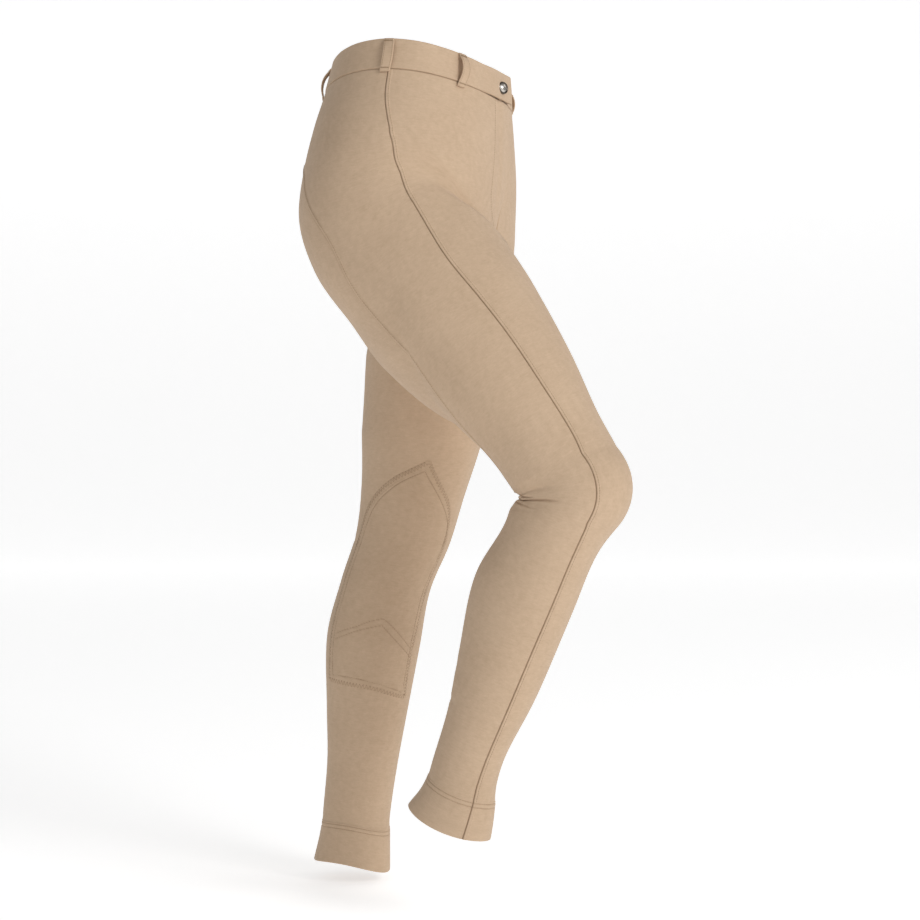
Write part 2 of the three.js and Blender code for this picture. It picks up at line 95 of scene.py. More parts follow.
# Angles of the seams. The side seam swings with the bent knee, so each leg has its own.
SIDE_SEAMS = {
    RIGHT: table(
        "level angle",
        [(0, 88), (60, 87), (100, 82), (120, 77), (140, 73), (165, 68), (200, 65), (286, 61), (380, 55),
         (455, 53), (520, 51), (559, 54), (582, 50), (600, 45), (630, 42), (694, 42), (777, 47), (864, 51),
         (962, 54)],
    ),
    LEFT: table(
        "level angle",
        [(0, 88), (60, 87.1), (100, 82.1), (106, 80.7), (120, 76.9), (140, 72.2), (165, 68.1), (200, 65.3),
         (230, 63.5), (286, 60.5), (360, 56.5), (440, 53.5), (520, 52.5), (570, 49), (640, 43), (740, 42.5),
         (860, 48), (920, 53.5), (962, 54)],
    ),
}
REAR_SEAM = table(
    "level angle",
    [(0, 182.5), (100, 182.5), (106, 170), (120, 152), (140, 136), (165, 125), (200, 114.5), (230, 114.5),
     (286, 125), (360, 136), (440, 151), (520, 177), (570, 187), (640, 188), (962, 188)],
)
# How each leg is held, in degrees. hem_dip is by how much the hem hangs lower at its front and back.
POSES = {
    RIGHT: {"thigh": 35.5, "outward": 4, "knee": 55.5, "hem_dip": -4},
    LEFT: {"thigh": -7, "outward": 0, "knee": 0, "hem_dip": 8},
}
HEM_DEPTH, HEM_DIP_LEVEL, HEM_MIDDLE, HEM_HALF_DEPTH = 38, 850, 13, 46
HIP = (88, 0, -190)
HIP_ZONE_FRONT, HIP_ZONE_BACK, HIP_SLANT = 82, 230, 1.1
KNEE = (0, 2, -565)
KNEE_ZONE_FRONT, KNEE_ZONE_BACK = 34, 88
LEG_FRONT, LEG_BACK = -70, 70

# Large folds, as troughs pressed in along a line round the leg.
FOLDS = {
    RIGHT: table(
        "level angle spread width depth",
        [(345, 190, 60, 45, 6),
         (480, 180, 70, 45, 5),
         (560, 0, 60, 40, -2.5),
         (565, 168, 50, 10, -2.5),
         (632, 175, 60, 40, 5),
         (875, 0, 80, 55, 8),
         (968, 180, 70, 22, -6)],
    ),
    LEFT: table("level angle spread width depth", []),
}


def smooth(t):
    s = np.clip(t, 0, 1)
    return s * s * (3 - 2 * s)


def ramp(t):
    """A straight ramp from 0 to 1 with softened ends."""
    return 0.7 * np.clip(t, 0, 1) + 0.3 * smooth(t)


def mix(a, b, t):
    return a + (b - a) * t


def wrapped(angle):
    return (angle + 540) % 360 - 180


def column_at(rows, column, level):
    """A column's value at a level, on a smooth curve through its rows."""
    knots, values = rows["level"], rows[column]
    last = len(knots) - 1
    at = np.clip(level, knots[0], knots[-1])
    i = np.clip(np.searchsorted(knots, at) - 1, 0, last - 1)
    after = np.minimum(np.arange(last + 1) + 1, last)
    before = np.maximum(np.arange(last + 1) - 1, 0)
    slopes = (values[after] - values[before]) / (knots[after] - knots[before])
    length = knots[i + 1] - knots[i]
    t = (at - knots[i]) / length
    rise = t * t * (3 - 2 * t)
    bend = slopes[i] * t * (1 - t) ** 2 + slopes[i + 1] * t * t * (t - 1)
    return mix(values[i], values[i + 1], rise) + length * bend


def fold_depth(side, level, angle):
    depth = 0
    for middle_level, middle_angle, spread, width, deepest in each_row(FOLDS[side]):
        along = (level - middle_level) / width
        around = wrapped(angle - middle_angle) / spread
        depth = depth + deepest * np.exp(-(along**2) - around**2)
    return depth


def section_point(side, level, angle):
    """out is the distance from the middle plane. Where it is less than web there is no cloth."""
    s, c = np.sin(np.radians(angle)), np.cos(np.radians(angle))
    across = np.where(s > 0, column_at(SECTIONS, "outer", level), column_at(SECTIONS, "inner", level))
    along = np.where(c > 0, column_at(SECTIONS, "front", level), column_at(SECTIONS, "back", level))
    power = column_at(SECTIONS, "power", level)
    oval = (np.abs(s / across) ** power + np.abs(c / along) ** power) ** (-1 / power)
    radius = oval - fold_depth(side, level, angle)
    out = column_at(SECTIONS, "centre_x", level) + radius * s
    return out, column_at(SECTIONS, "centre_y", level) - radius * c, column_at(SECTIONS, "web", level)


def straight_point(side, level, angle):
    """The straight form's points and normals, one row each."""
    step = 0.5
    out, y, web = section_point(side, level, angle)
    out_up, y_up, web_up = section_point(side, level - step, angle)
    out_down, y_down, web_down = section_point(side, level + step, angle)
    out_before, y_before, _ = section_point(side, level, angle - step)
    out_after, y_after, _ = section_point(side, level, angle + step)
    x = np.sqrt(np.maximum(out**2 - web**2, (GAP / 2) ** 2))
    out_round = out * (out_after - out_before)
    out_fall = out * (out_down - out_up) - web * (web_down - web_up)
    y_round, y_fall = y_after - y_before, y_down - y_up
    normal = -np.stack([-x * y_round, out_round, out_round * y_fall - y_round * out_fall], -1)
    normal /= np.linalg.norm(normal, axis=-1, keepdims=True)
    return np.stack([x, y, -level + 0 * x], -1), normal


def turned(points, a, b, pivot, degrees):
    """Turns points about a line through a pivot, in the plane of coordinates a and b."""
    s, c = np.sin(np.radians(degrees)), np.cos(np.radians(degrees))
    da, db = points[..., a] - pivot[a], points[..., b] - pivot[b]
    out = points.copy()
    out[..., a] = pivot[a] + da * c - db * s
    out[..., b] = pivot[b] + da * s + db * c
    return out


def posed(side, straight):
    """Bends the straight form into the way a leg is held, on its side of the middle plane."""
    pose = POSES[side]
    x, y, z = np.moveaxis(straight, -1, 0)
    depth = np.clip((y - LEG_FRONT) / (LEG_BACK - LEG_FRONT), 0, 1)
    hip_share = ramp((HIP_SLANT * np.abs(x) - z - CROTCH_LEVEL) / mix(HIP_ZONE_FRONT, HIP_ZONE_BACK, depth))
    knee_share = ramp((KNEE[2] - z) / mix(KNEE_ZONE_FRONT, KNEE_ZONE_BACK, depth) + 0.5)
    hem_share = smooth((-z - HEM_DIP_LEVEL) / (HEM_LEVEL - HEM_DEPTH - HEM_DIP_LEVEL))
    dipped = straight.copy()
    dipped[..., 2] += pose["hem_dip"] * hem_share * (0.5 - ((y - HEM_MIDDLE) / HEM_HALF_DEPTH) ** 2)
    points = turned(dipped, 1, 2, KNEE, pose["knee"] * knee_share)
    points = turned(points, 0, 2, HIP, pose["outward"] * hip_share)
    points = turned(points, 1, 2, HIP, -pose["thigh"] * hip_share)
    arch = WAIST_ARCH * ((x / WAIST_HALF_WIDTH) ** 2 - WAIST_LEVEL_AT)
    points[..., 2] += (WAIST_SLOPE * y + arch) * (1 - smooth(-z / WAIST_FADE))
    points[..., 0] *= side
    return points


def unit(vectors):
    return vectors / np.maximum(np.linalg.norm(vectors, axis=-1, keepdims=True), 1e-9)


def cloth(side, level, angle):
    """Points of the cloth's face and its normals there, for arrays of levels and angles."""
    level, angle = np.broadcast_arrays(np.asarray(level, float), np.asarray(angle, float))
    point, normal = straight_point(side, level, angle)
    first = unit(np.cross([0, 0, 1], normal))
    second = np.cross(normal, first)
    edges = [posed(side, point + way) - posed(side, point - way) for way in (first, second)]
    return posed(side, point), unit(np.cross(*edges)) * side


def cloth_round(turn, level):
    """As cloth(), by the angle round the waist: 0 is the centre front and it grows to the left side."""
    turn, level = np.broadcast_arrays(np.asarray(turn, float) % 360, np.asarray(level, float))
    left, right = cloth(LEFT, level, turn), cloth(RIGHT, level, 360 - turn)
    on_left = (turn < 180)[..., None]
    return tuple(np.where(on_left, a, b) for a, b in zip(left, right))


def angle_at_distance(side, level, distance, start):
    """The angle where a section comes that close to the middle plane, on its front or its back."""
    level = np.asarray(level, float)
    beyond, inside = np.full(level.shape, -90.0), np.full(level.shape, float(start))
    for _ in range(40):
        middle = (beyond + inside) / 2
        out, _, web = section_point(side, level, middle)
        keep = (out > 0) & (out**2 - web**2 > distance**2)
        inside, beyond = np.where(keep, middle, inside), np.where(keep, beyond, middle)
    return inside


def middle_front(side, level):
    return angle_at_distance(side, level, GAP / 2, 45)


def middle_back(side, level):
    return angle_at_distance(side, level, GAP / 2, -225)


def speed(side, level, angle):
    """Millimetres of cloth for each degree round a section."""
    ends = [cloth(side, level, angle + half)[0] for half in (0.5, -0.5)]
    return np.linalg.norm(ends[0] - ends[1], axis=-1)


def side_seam(side, level):
    return column_at(SIDE_SEAMS[side], "angle", level)


def rear_seam(side, level):
    return column_at(REAR_SEAM, "angle", level)


# ---- Lines on the cloth: seams, edges and rows of stitches ----
def through(points, step):
    """Rows on a smooth curve through a short list of rows, about a step apart."""
    points = np.array(points, float)
    slopes = np.gradient(points, axis=0)
    out = []
    for a, b, start, end in zip(points[:-1], points[1:], slopes[:-1], slopes[1:]):
        count = max(2, math.ceil(np.abs(b - a).max() / step))
        t = (np.arange(count) / count)[:, None]
        bend = start * t * (1 - t) ** 2 + end * t * t * (t - 1)
        out.append(mix(a, b, t * t * (3 - 2 * t)) + bend)
    return np.vstack([*out, points[-1:]])


def read_between(at, knots, rows):
    """Rows of three numbers, read between the knots that they belong to."""
    return np.stack([np.interp(at, knots, rows[:, k]) for k in range(3)], -1)


class Line:
    """A line on the cloth at even steps: its points, the cloth's normals there and its direction."""

    def __init__(self, points, normals, step=0.4):
        long = np.concatenate([[0], np.cumsum(np.linalg.norm(np.diff(points, axis=0), axis=1))])
        self.length = long[-1]
        self.at = np.linspace(0, self.length, max(2, round(self.length / step) + 1))
        self.points = read_between(self.at, long, points)
        self.normals = unit(read_between(self.at, long, normals))
        self.along = unit(np.gradient(self.points, axis=0))
        self.tree = KDTree(len(self.points))
        for n, point in enumerate(self.points):
            self.tree.insert(point, n)
        self.tree.balance()

    def reach(self, points, limit=16):
        """For each point its distance from the line and how far along the line that is."""
        flat = points.reshape(-1, 3)
        low, high = self.points.min(0) - limit, self.points.max(0) + limit
        near = np.flatnonzero(((flat > low) & (flat < high)).all(1))
        distance, along = np.full(len(flat), 1e3), np.zeros(len(flat))
        found = np.array([self.tree.find(flat[n])[1] for n in near], int)
        if len(near):
            best = np.full(len(near), 1e9)
            for shift in (-1, 0):
                a = np.clip(found + shift, 0, len(self.points) - 2)
                start, edge = self.points[a], self.points[a + 1] - self.points[a]
                share = ((flat[near] - start) * edge).sum(1) / (edge * edge).sum(1)
                share = np.clip(share, 0, 1)
                gap = np.linalg.norm(flat[near] - start - edge * share[:, None], axis=1)
                closer = gap < best
                best = np.where(closer, gap, best)
                along[near] = np.where(closer, mix(self.at[a], self.at[a + 1], share), along[near])
            distance[near] = best
        return distance.reshape(points.shape[:-1]), along.reshape(points.shape[:-1])

    def beside(self, offset):
        """The line moved sideways over the cloth."""
        return Line(self.points + np.cross(self.along, self.normals) * offset, self.normals)

    def spots(self, at):
        """Points, normals and directions at distances along the line."""
        normals = unit(read_between(at, self.at, self.normals))
        return read_between(at, self.at, self.points), normals, unit(read_between(at, self.at, self.along))


def line_at(side, levels, angles, step=0.4):
    return Line(*cloth(side, levels, angles), step)


def line_through(side, rows):
    """A line on a leg through (level, angle) rows."""
    levels, angles = through(rows, 1.0).T
    return line_at(side, levels, angles)


def panel_lines(side):
    """The long seams of one side."""
    down = np.arange(BAND_HEIGHT, HEM_LEVEL + 0.1, 1.0)
    below = np.arange(SEAT_SEAM_LEVEL, HEM_LEVEL + 0.1, 0.5)
    centre_back = float(middle_back(side, SEAT_SEAM_LEVEL)) + 360
    top = np.linspace(centre_back, rear_seam(side, SEAT_SEAM_LEVEL), 12)[:-1]
    front = np.arange(FLY_CLOSED, CROTCH_LEVEL + 0.1, 1.0)
    back = np.arange(CROTCH_LEVEL, BAND_HEIGHT - 0.1, -1.0)
    return {
        "side": line_at(side, down, side_seam(side, down)),
        "rear": line_at(
            side,
            np.concatenate([np.full(len(top), SEAT_SEAM_LEVEL), below]),
            np.concatenate([top, rear_seam(side, below)]),
        ),
        "middle": line_at(
            side,
            np.concatenate([front, back]),
            np.concatenate([middle_front(side, front), middle_back(side, back)]),
        ),
    }


# ---- Shells ----
JOIN = 0.02  # outer points that fall in one cell of this size are joined


def grid_faces(number):
    return np.stack([number[:-1, :-1], number[1:, :-1], number[1:, 1:], number[:-1, 1:]], -1).reshape(-1, 4)


def tube_faces(number):
    """Faces between rings of points, a row for each ring."""
    closed = np.hstack([number, number[:, :1]])
    return np.roll(grid_faces(closed)[:, ::-1], 1, 1)


def ring_points(first, second, corners):
    """Points of a circle of radius 1 in the plane of two directions, or of one circle for each pair."""
    spin = np.linspace(0, 2 * np.pi, corners, endpoint=False)[:, None]
    return first[..., None, :] * np.cos(spin) + second[..., None, :] * np.sin(spin)


def smooth_mesh(name, points, faces):
    mesh = bpy.data.meshes.new(name)
    mesh.from_pydata((points * MM).tolist(), [], faces)
    mesh.polygons.foreach_set("use_smooth", np.ones(len(mesh.polygons), bool))
    return mesh


def set_shade(mesh, values):
    """How much of its own colour each point shows, for the material: 1 is all of it. On the cloth, less
    than 1 is painted shade; on the stud, 0 marks its ring's painted reflection.
    """
    layer = mesh.attributes.new("shade", "FLOAT", "POINT")
    layer.data.foreach_set("value", values.astype(np.float32))


def layers(points, normals, out, inner, uv, shade):
    """A grid for shell(), its two faces at distances out along the normals."""
    outer, inner = (points + normals * away[..., None] for away in (out, inner))
    return {"outer": outer, "inner": inner, "uv": uv, "shade": shade, "face": points}


def shell(name, grids, materials):
    """A closed thin shell from grids, joined where they share points, and the area of its face."""
    outer = np.vstack([grid["outer"].reshape(-1, 3) for grid in grids])
    inner = np.vstack([grid["inner"].reshape(-1, 3) for grid in grids])
    uv = np.vstack([grid["uv"].reshape(-1, 2) for grid in grids])
    shade = np.concatenate([grid["shade"].reshape(-1) for grid in grids])
    cells = np.round(outer / JOIN).astype(int)
    _, first, number = np.unique(cells, axis=0, return_index=True, return_inverse=True)
    number = number.reshape(-1)
    faces, start = [], 0
    for grid in grids:
        shape = grid["outer"].shape[:2]
        own = np.arange(start, start + shape[0] * shape[1]).reshape(shape)
        start += own.size
        quads = grid_faces(own)
        a, b, c, _ = (outer[quads[:, k]] for k in range(4))
        out = (outer - inner)[quads[:, 0]]
        flip = (np.cross(b - a, c - a) * out).sum() < 0
        faces.append(quads[:, ::-1] if flip else quads)
    quads = number[np.vstack(faces)]
    count = len(first)
    ring = np.stack([quads, np.roll(quads, -1, 1)], -1)
    edges = ring.reshape(-1, 2)
    edges = edges[edges[:, 0] != edges[:, 1]]
    forward, backward = edges[:, 0] * count + edges[:, 1], edges[:, 1] * count + edges[:, 0]
    rim = edges[~np.isin(forward, backward)]
    rims = np.stack([rim[:, 1], rim[:, 0], rim[:, 0] + count, rim[:, 1] + count], -1)
    every = np.vstack([quads, quads[:, ::-1] + count, rims])
    doubled = (every == np.roll(every, -1, 1)).any(1)
    polygons = every[~doubled].tolist()
    for corners in every[doubled]:
        kept = [c for k, c in enumerate(corners) if c != corners[k - 1]]
        if len(set(kept)) == 3:
            polygons.append([int(c) for c in kept])
    mesh = smooth_mesh(name, np.vstack([outer[first], inner[first]]), polygons)
    corner = np.empty(len(mesh.loops), np.int32)
    mesh.loops.foreach_get("vertex_index", corner)
    layer = mesh.uv_layers.new(name="cloth")
    layer.data.foreach_set("uv", (np.vstack([uv[first]] * 2) * MM)[corner].astype(np.float32).ravel())
    set_shade(mesh, np.tile(shade[first], 2))
    return piece(name, mesh, materials), sum(area_of(grid["face"]) for grid in grids)


def piece(name, mesh, materials):
    obj = bpy.data.objects.new(name, mesh)
    bpy.context.collection.objects.link(obj)
    for material in materials:
        mesh.materials.append(material)
    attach(obj, "root")
    return obj


def row_lengths(points):
    steps = np.linalg.norm(np.diff(points, axis=1), axis=2)
    return np.concatenate([np.zeros((len(points), 1)), np.cumsum(steps, axis=1)], axis=1)


def area_of(points):
    """The area of a grid of points, in square metres."""
    rising, falling = points[1:, 1:] - points[:-1, :-1], points[:-1, 1:] - points[1:, :-1]
    return np.linalg.norm(np.cross(rising, falling), axis=-1).sum() / 2 * MM**2


# ---- Relief ----
SEAM_ROLL = 0.9  # radius of a panel's edge where it turns in to a seam
EDGE_WALL = 0.12  # what is left of the wall at the very edge
LAP = 0.9  # height of a lapped seam's raised strip
LAP_WIDTH = 4.2
LAP_STITCH = 3.4  # distance of a lap's stitches from its edge
# Painted shade: by how much the colour is darker in each seam's groove, where shade would fall.
SEAM_PAINTED_SHADE = {"side": 0.42, "rear": 0.2, "middle": 0.15, "waist": 0.45, "hem": 0.3}
HEM_LINES = {RIGHT: (36.5, 41), LEFT: (42.5, 47)}  # twin needle rows above the hem's edge
HEM_ROLL = 0.8
HEM_RISE, HEM_BACKING = 0.75, 1.1  # by how much the hem is thicker on its outer and its inner side
HEM_GROOVE = 0.55  # depth of its needle rows


def band_of(distance, start, end, soft):
    return smooth((distance - start) / soft + 0.5) * (1 - smooth((distance - end) / soft + 0.5))


def groove(distance, half):
    return np.exp(-((distance / half) ** 2))


def rolled(distance, radius):
    """How far an edge has turned in at a distance from it."""
    s = np.clip(distance, 0, radius)
    return np.sqrt(np.maximum(radius**2 - (radius - s) ** 2, 0)) - radius


def pucker(along, distance, reach, seed):
    """Small uneven waves beside a row of stitches."""
    waves = sum(np.sin(along * 2 * np.pi / long + seed * k) for k, long in ((1, 5.3), (2, 7.9), (3, 12.7)))
    return waves / 3 * groove(distance, reach)


# Fine creases from one angle to another, at a level that drifts. Where depth is below 0 it is a ridge.
CREASES = {
    RIGHT: table(
        "level drift start end width depth",
        [(553, 0, 215, 112, 14.0, -6.0),
         (588, 0, 215, 108, 18.0, -6.0),
         (559, 9, 156, 126, 1.7, 2.6),
         (572, 6, 154, 74, 1.8, 3.0),
         (540, 22, 160, 82, 4.0, 1.4),
         (590, 2, 160, 104, 2.6, 1.6),
         (606, -12, 162, 80, 4.5, 1.0),
         (553, 0, -164, -120, 2.0, 1.8),
         (564, 3, -170, -96, 2.4, 1.8),
         (576, 3, -165, -110, 3.5, 0.9),
         (791, 2, 168, 108, 6.0, 0.8),
         (828, 3, 172, 124, 2.6, 1.2)],
    ),
    LEFT: table(
        "level drift start end width depth",
        [(568, 3, -176, -120, 5, 0.5),
         (590, -4, 172, 110, 6, 0.6),
         (556, 4, 178, 120, 4, 0.6)],
    ),
}


def crease_depth(side, level, angle):
    depth = 0
    for start_level, drift, start, end, width, deepest in each_row(CREASES[side]):
        share = wrapped(angle - start) / wrapped(end - start)
        away = level - start_level - drift * share
        taper = smooth(share / 0.18 + 0.6) * (1 - smooth((share - 0.45) / 0.55))
        depth = depth + deepest * taper * groove(away, width)
    return depth


def relief(side, level, angle, points, lines, laps):
    """How far a panel's outer and inner points lie out along the normals, and its painted shade: darker in
    the grooves of its seams, stitches and hem.
    """
    out = -crease_depth(side, level, angle)
    inner = out - WALL
    shade = np.ones(level.shape)
    for name, line in lines.items():
        distance, along = line.reach(points)
        edge = distance - GAP / 2
        turn = rolled(edge, SEAM_ROLL)
        out = out + turn + 0.1 * pucker(along, edge, 5, 1.7)
        inner = np.minimum(inner, out - EDGE_WALL)
        # Painted shade in the seam's groove.
        shade = shade * (1 - SEAM_PAINTED_SHADE[name] * groove(edge, 0.65))
        if name in laps:
            out = out + LAP * band_of(edge, 0.5, LAP_WIDTH, 0.9) - 0.3 * groove(edge - LAP_STITCH, 0.45)
            # Painted shade in the groove of the lap's stitches.
            shade = shade * (1 - 0.1 * groove(edge - LAP_STITCH, 0.5))
    waist = level - BAND_HEIGHT - GAP
    out = out + rolled(waist, SEAM_ROLL)
    # Painted shade in the groove under the waistband.
    shade = shade * (1 - SEAM_PAINTED_SHADE["waist"] * groove(waist, 0.9))
    hem = HEM_LEVEL - level
    low, high = HEM_LINES[side]
    out = out + HEM_RISE * (1 - smooth((hem - high - 0.8) / 2.2)) + rolled(hem, HEM_ROLL)
    rows = groove(hem - low, 0.55) + groove(hem - high, 0.55)
    out = out - HEM_GROOVE * rows + 0.16 * pucker(angle * 0.8, hem - (low + high) / 2, 4, 2.3)
    # Painted shade in the hem's needle rows.
    shade = shade * (1 - SEAM_PAINTED_SHADE["hem"] * rows)
    inner = inner - HEM_BACKING * (1 - smooth((hem - high + 0.6) / 1.6)) - rolled(hem, HEM_ROLL)
    return out, np.minimum(inner, out - 0.1), shade


# ---- Panels ----
FLY_END = 186  # level
FLY_FADE = 24
FLY_CLOSED = FLY_END - FLY_FADE  # below this level the right front ends at the middle
FLY_OVERLAP = 7
FLY_WIDTH = 30
FLY_RISE = 1.8
FLY_ROLL = 1.2
FLY_SHARES = np.array([0.35, 0.6, 0.78, 0.88, 0.94, 0.975, 0.99, 1.0])  # columns of points over the overlap
TUCK = 1.2  # the panels' first row is this far up inside the waistband

EDGE_STEPS = np.array([0, 0.08, 0.22, 0.45, 0.8, 1.2, 1.7, 2.3, 2.8, 3.1, 3.4, 3.7, 4.1, 4.7, 5.5, 7, 9])


def fly_reach(level):
    return mix(FLY_OVERLAP, -GAP / 2, smooth((level - FLY_END) / FLY_FADE + 2))


def fly_rise(level, distance):
    down = 1 - smooth((level - FLY_END) / FLY_FADE + 1)
    return FLY_RISE * down * smooth((FLY_WIDTH - distance) / (FLY_WIDTH / 2))


def fly_lift(level, angle):
    """How far the right front stands out over the fly's lower layer."""
    points, _ = cloth(RIGHT, level[:, None], angle)
    return fly_rise(level[:, None], np.abs(points[..., 0]))


def fine_levels(start, end):
    """Rows of a panel: close together at its ends, at the seat's seam, at the knee and at the hem."""
    bands = [
        (BAND_HEIGHT + GAP + 10, 97, 3.0),
        (97, 110, 0.7),
        (110, 132, 1.3),
        (132, 175, 2.2),
        (175, CROTCH_LEVEL, 3.2),
        (CROTCH_LEVEL, 300, 1.6),
        (300, 480, 3.6),
        (480, 535, 2.4),
        (535, 600, 1.25),
        (600, 725, 3.4),
        (725, 780, 2.2),
        (780, HEM_LEVEL - 50, 3.6),
        (HEM_LEVEL - 50, HEM_LEVEL - 34, 0.55),
        (HEM_LEVEL - 34, HEM_LEVEL - 4, 2.5),
    ]
    top = BAND_HEIGHT + GAP + np.array([-TUCK, 0, 0.06, 0.2, 0.45, 0.8, 1.2, 1.8, 2.6, 3.8, 5.5, 7.5])
    steps = [np.linspace(a, b, round((b - a) / step) + 1)[:-1] for a, b, step in bands]
    low = HEM_LEVEL - np.array([4, 2.5, 1.6, 1.0, 0.65, 0.35, 0.15, 0.03, 0])
    levels = np.unique(np.round(np.concatenate([top, *steps, low, [SEAT_SEAM_LEVEL, CROTCH_LEVEL]]), 3))
    return levels[(levels >= start - 1e-6) & (levels <= end + 1e-6)]


def edge_angles(side, level, seam, way):
    """Angles close beside a seam, each a set distance from it over the cloth."""
    angle = seam(side, level)
    pace = speed(side, level, angle)
    slant = pace * (seam(side, level + 0.5) - seam(side, level - 0.5))
    stretch = np.minimum(np.sqrt(1 + slant**2), 6)
    away = (GAP / 2 + EDGE_STEPS[None, :]) * (stretch / pace)[:, None]
    return angle[:, None] + way * away


def middle_steps(start, end, count, crowd=1.0):
    """Angles between two columns of angles, without the first; they may crowd towards the last."""
    t = 1 - (1 - np.linspace(0, 1, count + 1)[1:]) ** crowd
    return mix(start[:, None], end[:, None], t[None, :])


def squeezed(columns, end):
    """Keeps columns beside a seam inside half of the room there is before the other edge."""
    first, last = columns[:, :1], columns[:, -1:]
    share = np.minimum(1, 0.5 * np.abs(end[:, None] - first) / np.maximum(np.abs(last - first), 1e-6))
    return first + (columns - first) * share


def panel_grid(side, level, angle, lines, laps, lift=0, start=0):
    """A grid of a panel's outer and inner points. start is where its cloth coordinates begin."""
    rows = np.broadcast_to(level[:, None], angle.shape)
    points, normals = cloth(side, rows, angle)
    out, inner, shade = relief(side, rows, angle, points, lines, laps)
    uv = np.stack([row_lengths(points) + start, rows], -1)
    return layers(points, normals, out + lift, inner + lift, uv, shade)


def angles_to_middle(seam, middle, count):
    """Columns of angles from those beside a seam to the middle plane, where they crowd."""
    seam = squeezed(seam, middle)
    return np.hstack([seam, middle_steps(seam[:, -1], middle, count, 1.7)])


def front_angles(side, level):
    return angles_to_middle(edge_angles(side, level, side_seam, -1), middle_front(side, level), 38)


def inner_angles(side, level):
    seam = edge_angles(side, level, rear_seam, 1) - 360
    return angles_to_middle(seam, middle_back(side, level), 28)[:, ::-1]


def fly_grid(level, lines):
    """The right front where it passes the middle: it runs on over the left front, raised."""
    angle = front_angles(RIGHT, level)
    grid = panel_grid(RIGHT, level, angle, {"side": lines["side"]}, {"side"}, fly_lift(level, angle))
    reach = fly_reach(level)
    reaches = [np.maximum(reach * share, GAP / 2) for share in FLY_SHARES]
    over = np.stack([angle_at_distance(LEFT, level, distance, 45) for distance in reaches], -1)
    beyond, normals = cloth(LEFT, level[:, None], over)
    edge = reach[:, None] * (1 - FLY_SHARES)
    turn = rolled(edge, FLY_ROLL)
    raised = fly_rise(level, 0)[:, None] + rolled(level - BAND_HEIGHT - GAP, SEAM_ROLL)[:, None]
    face = raised + turn
    under = np.where(turn < 0.1 - FLY_ROLL, face - EDGE_WALL, raised - WALL - 0.2 * turn)
    passing = (reach > 0.5)[:, None, None]  # below, the columns of points close up at the middle
    spread = JOIN * np.arange(1, len(FLY_SHARES) + 1)[None, :, None] * np.array([1, 0, 0])
    run = np.maximum(reach, 0)[:, None] * FLY_SHARES
    added = {
        "outer": np.where(passing, beyond + normals * face[..., None], grid["outer"][:, -1:] + spread),
        "inner": np.where(passing, beyond + normals * under[..., None], grid["inner"][:, -1:] + spread),
        "uv": grid["uv"][:, -1:] + np.stack([run, np.zeros_like(run)], -1),
        # Painted shade: darker along the fly's turned edge.
        "shade": 1 - 0.25 * groove(edge, 0.6),
        "face": beyond,
    }
    return {key: np.concatenate([grid[key], added[key]], 1) for key in grid}


def front_inner_panel(name, side, lines, materials):
    """The front, the inner leg and the strip under the seat, cut in one."""
    low = fine_levels(CROTCH_LEVEL, HEM_LEVEL)
    seat_levels = fine_levels(SEAT_SEAM_LEVEL, CROTCH_LEVEL)
    front_levels = fine_levels(0, CROTCH_LEVEL)
    grids = []
    if side == RIGHT:
        above = np.append(front_levels[front_levels < FLY_CLOSED], FLY_CLOSED)
        below = np.insert(front_levels[front_levels > FLY_CLOSED], 0, FLY_CLOSED)
        grids.append(fly_grid(above, lines))
        angle = front_angles(side, below)
        grids.append(panel_grid(side, below, angle, lines, {"side"}, fly_lift(below, angle)))
    else:
        grids.append(panel_grid(side, front_levels, front_angles(side, front_levels), lines, {"side"}))
    leg = np.hstack([front_angles(side, low), inner_angles(side, low)[:, 1:]])
    grids.append(panel_grid(side, low, leg, lines, {"side"}))
    across = grids[-1]["uv"][0, front_angles(side, low[:1]).shape[1] - 1, 0]
    seat = inner_angles(side, seat_levels)
    grids.append(panel_grid(side, seat_levels, seat, lines, {"side"}, 0, across))
    return shell(name, grids, materials)


def back_outer_panel(name, side, lines, materials):
    level = fine_levels(0, HEM_LEVEL)
    seam = edge_angles(side, level, side_seam, 1)
    rear = edge_angles(side, level, rear_seam, -1)
    middle = middle_back(side, level) + 360
    pace = np.maximum(speed(side, level, middle - 4), 1.5)[:, None]  # at the middle itself it may be 0
    to_middle = middle[:, None] - EDGE_STEPS[None, :] / pace
    rear = np.where((level < SEAT_SEAM_LEVEL)[:, None], to_middle, rear)
    angle = np.hstack([seam, middle_steps(seam[:, -1], rear[:, -1], 34), rear[:, -2::-1]])
    return shell(name, [panel_grid(side, level, angle, lines, {"rear"})], materials)


# ---- Waistband ----
BAND_WALL = 3
BAND_PROUD = 0.8
BAND_UNDERLAP = 15
BAND_OVERLAP = 3.8
BAND_RAMP = 24
BAND_FLARE = 2.5
BAND_PACE = 2.45  # millimetres of the band for each degree


def band_face(turn):
    """How far the band's face stands out: its right end rises over the left and flares at its tip."""
    start = 360 - BAND_UNDERLAP - BAND_RAMP
    lap = (BAND_WALL + 0.3) * smooth((turn - start) / (BAND_RAMP - 2))
    tip = smooth((turn - 360 + BAND_UNDERLAP) / (BAND_UNDERLAP + BAND_OVERLAP))
    return BAND_PROUD + lap + BAND_FLARE * tip


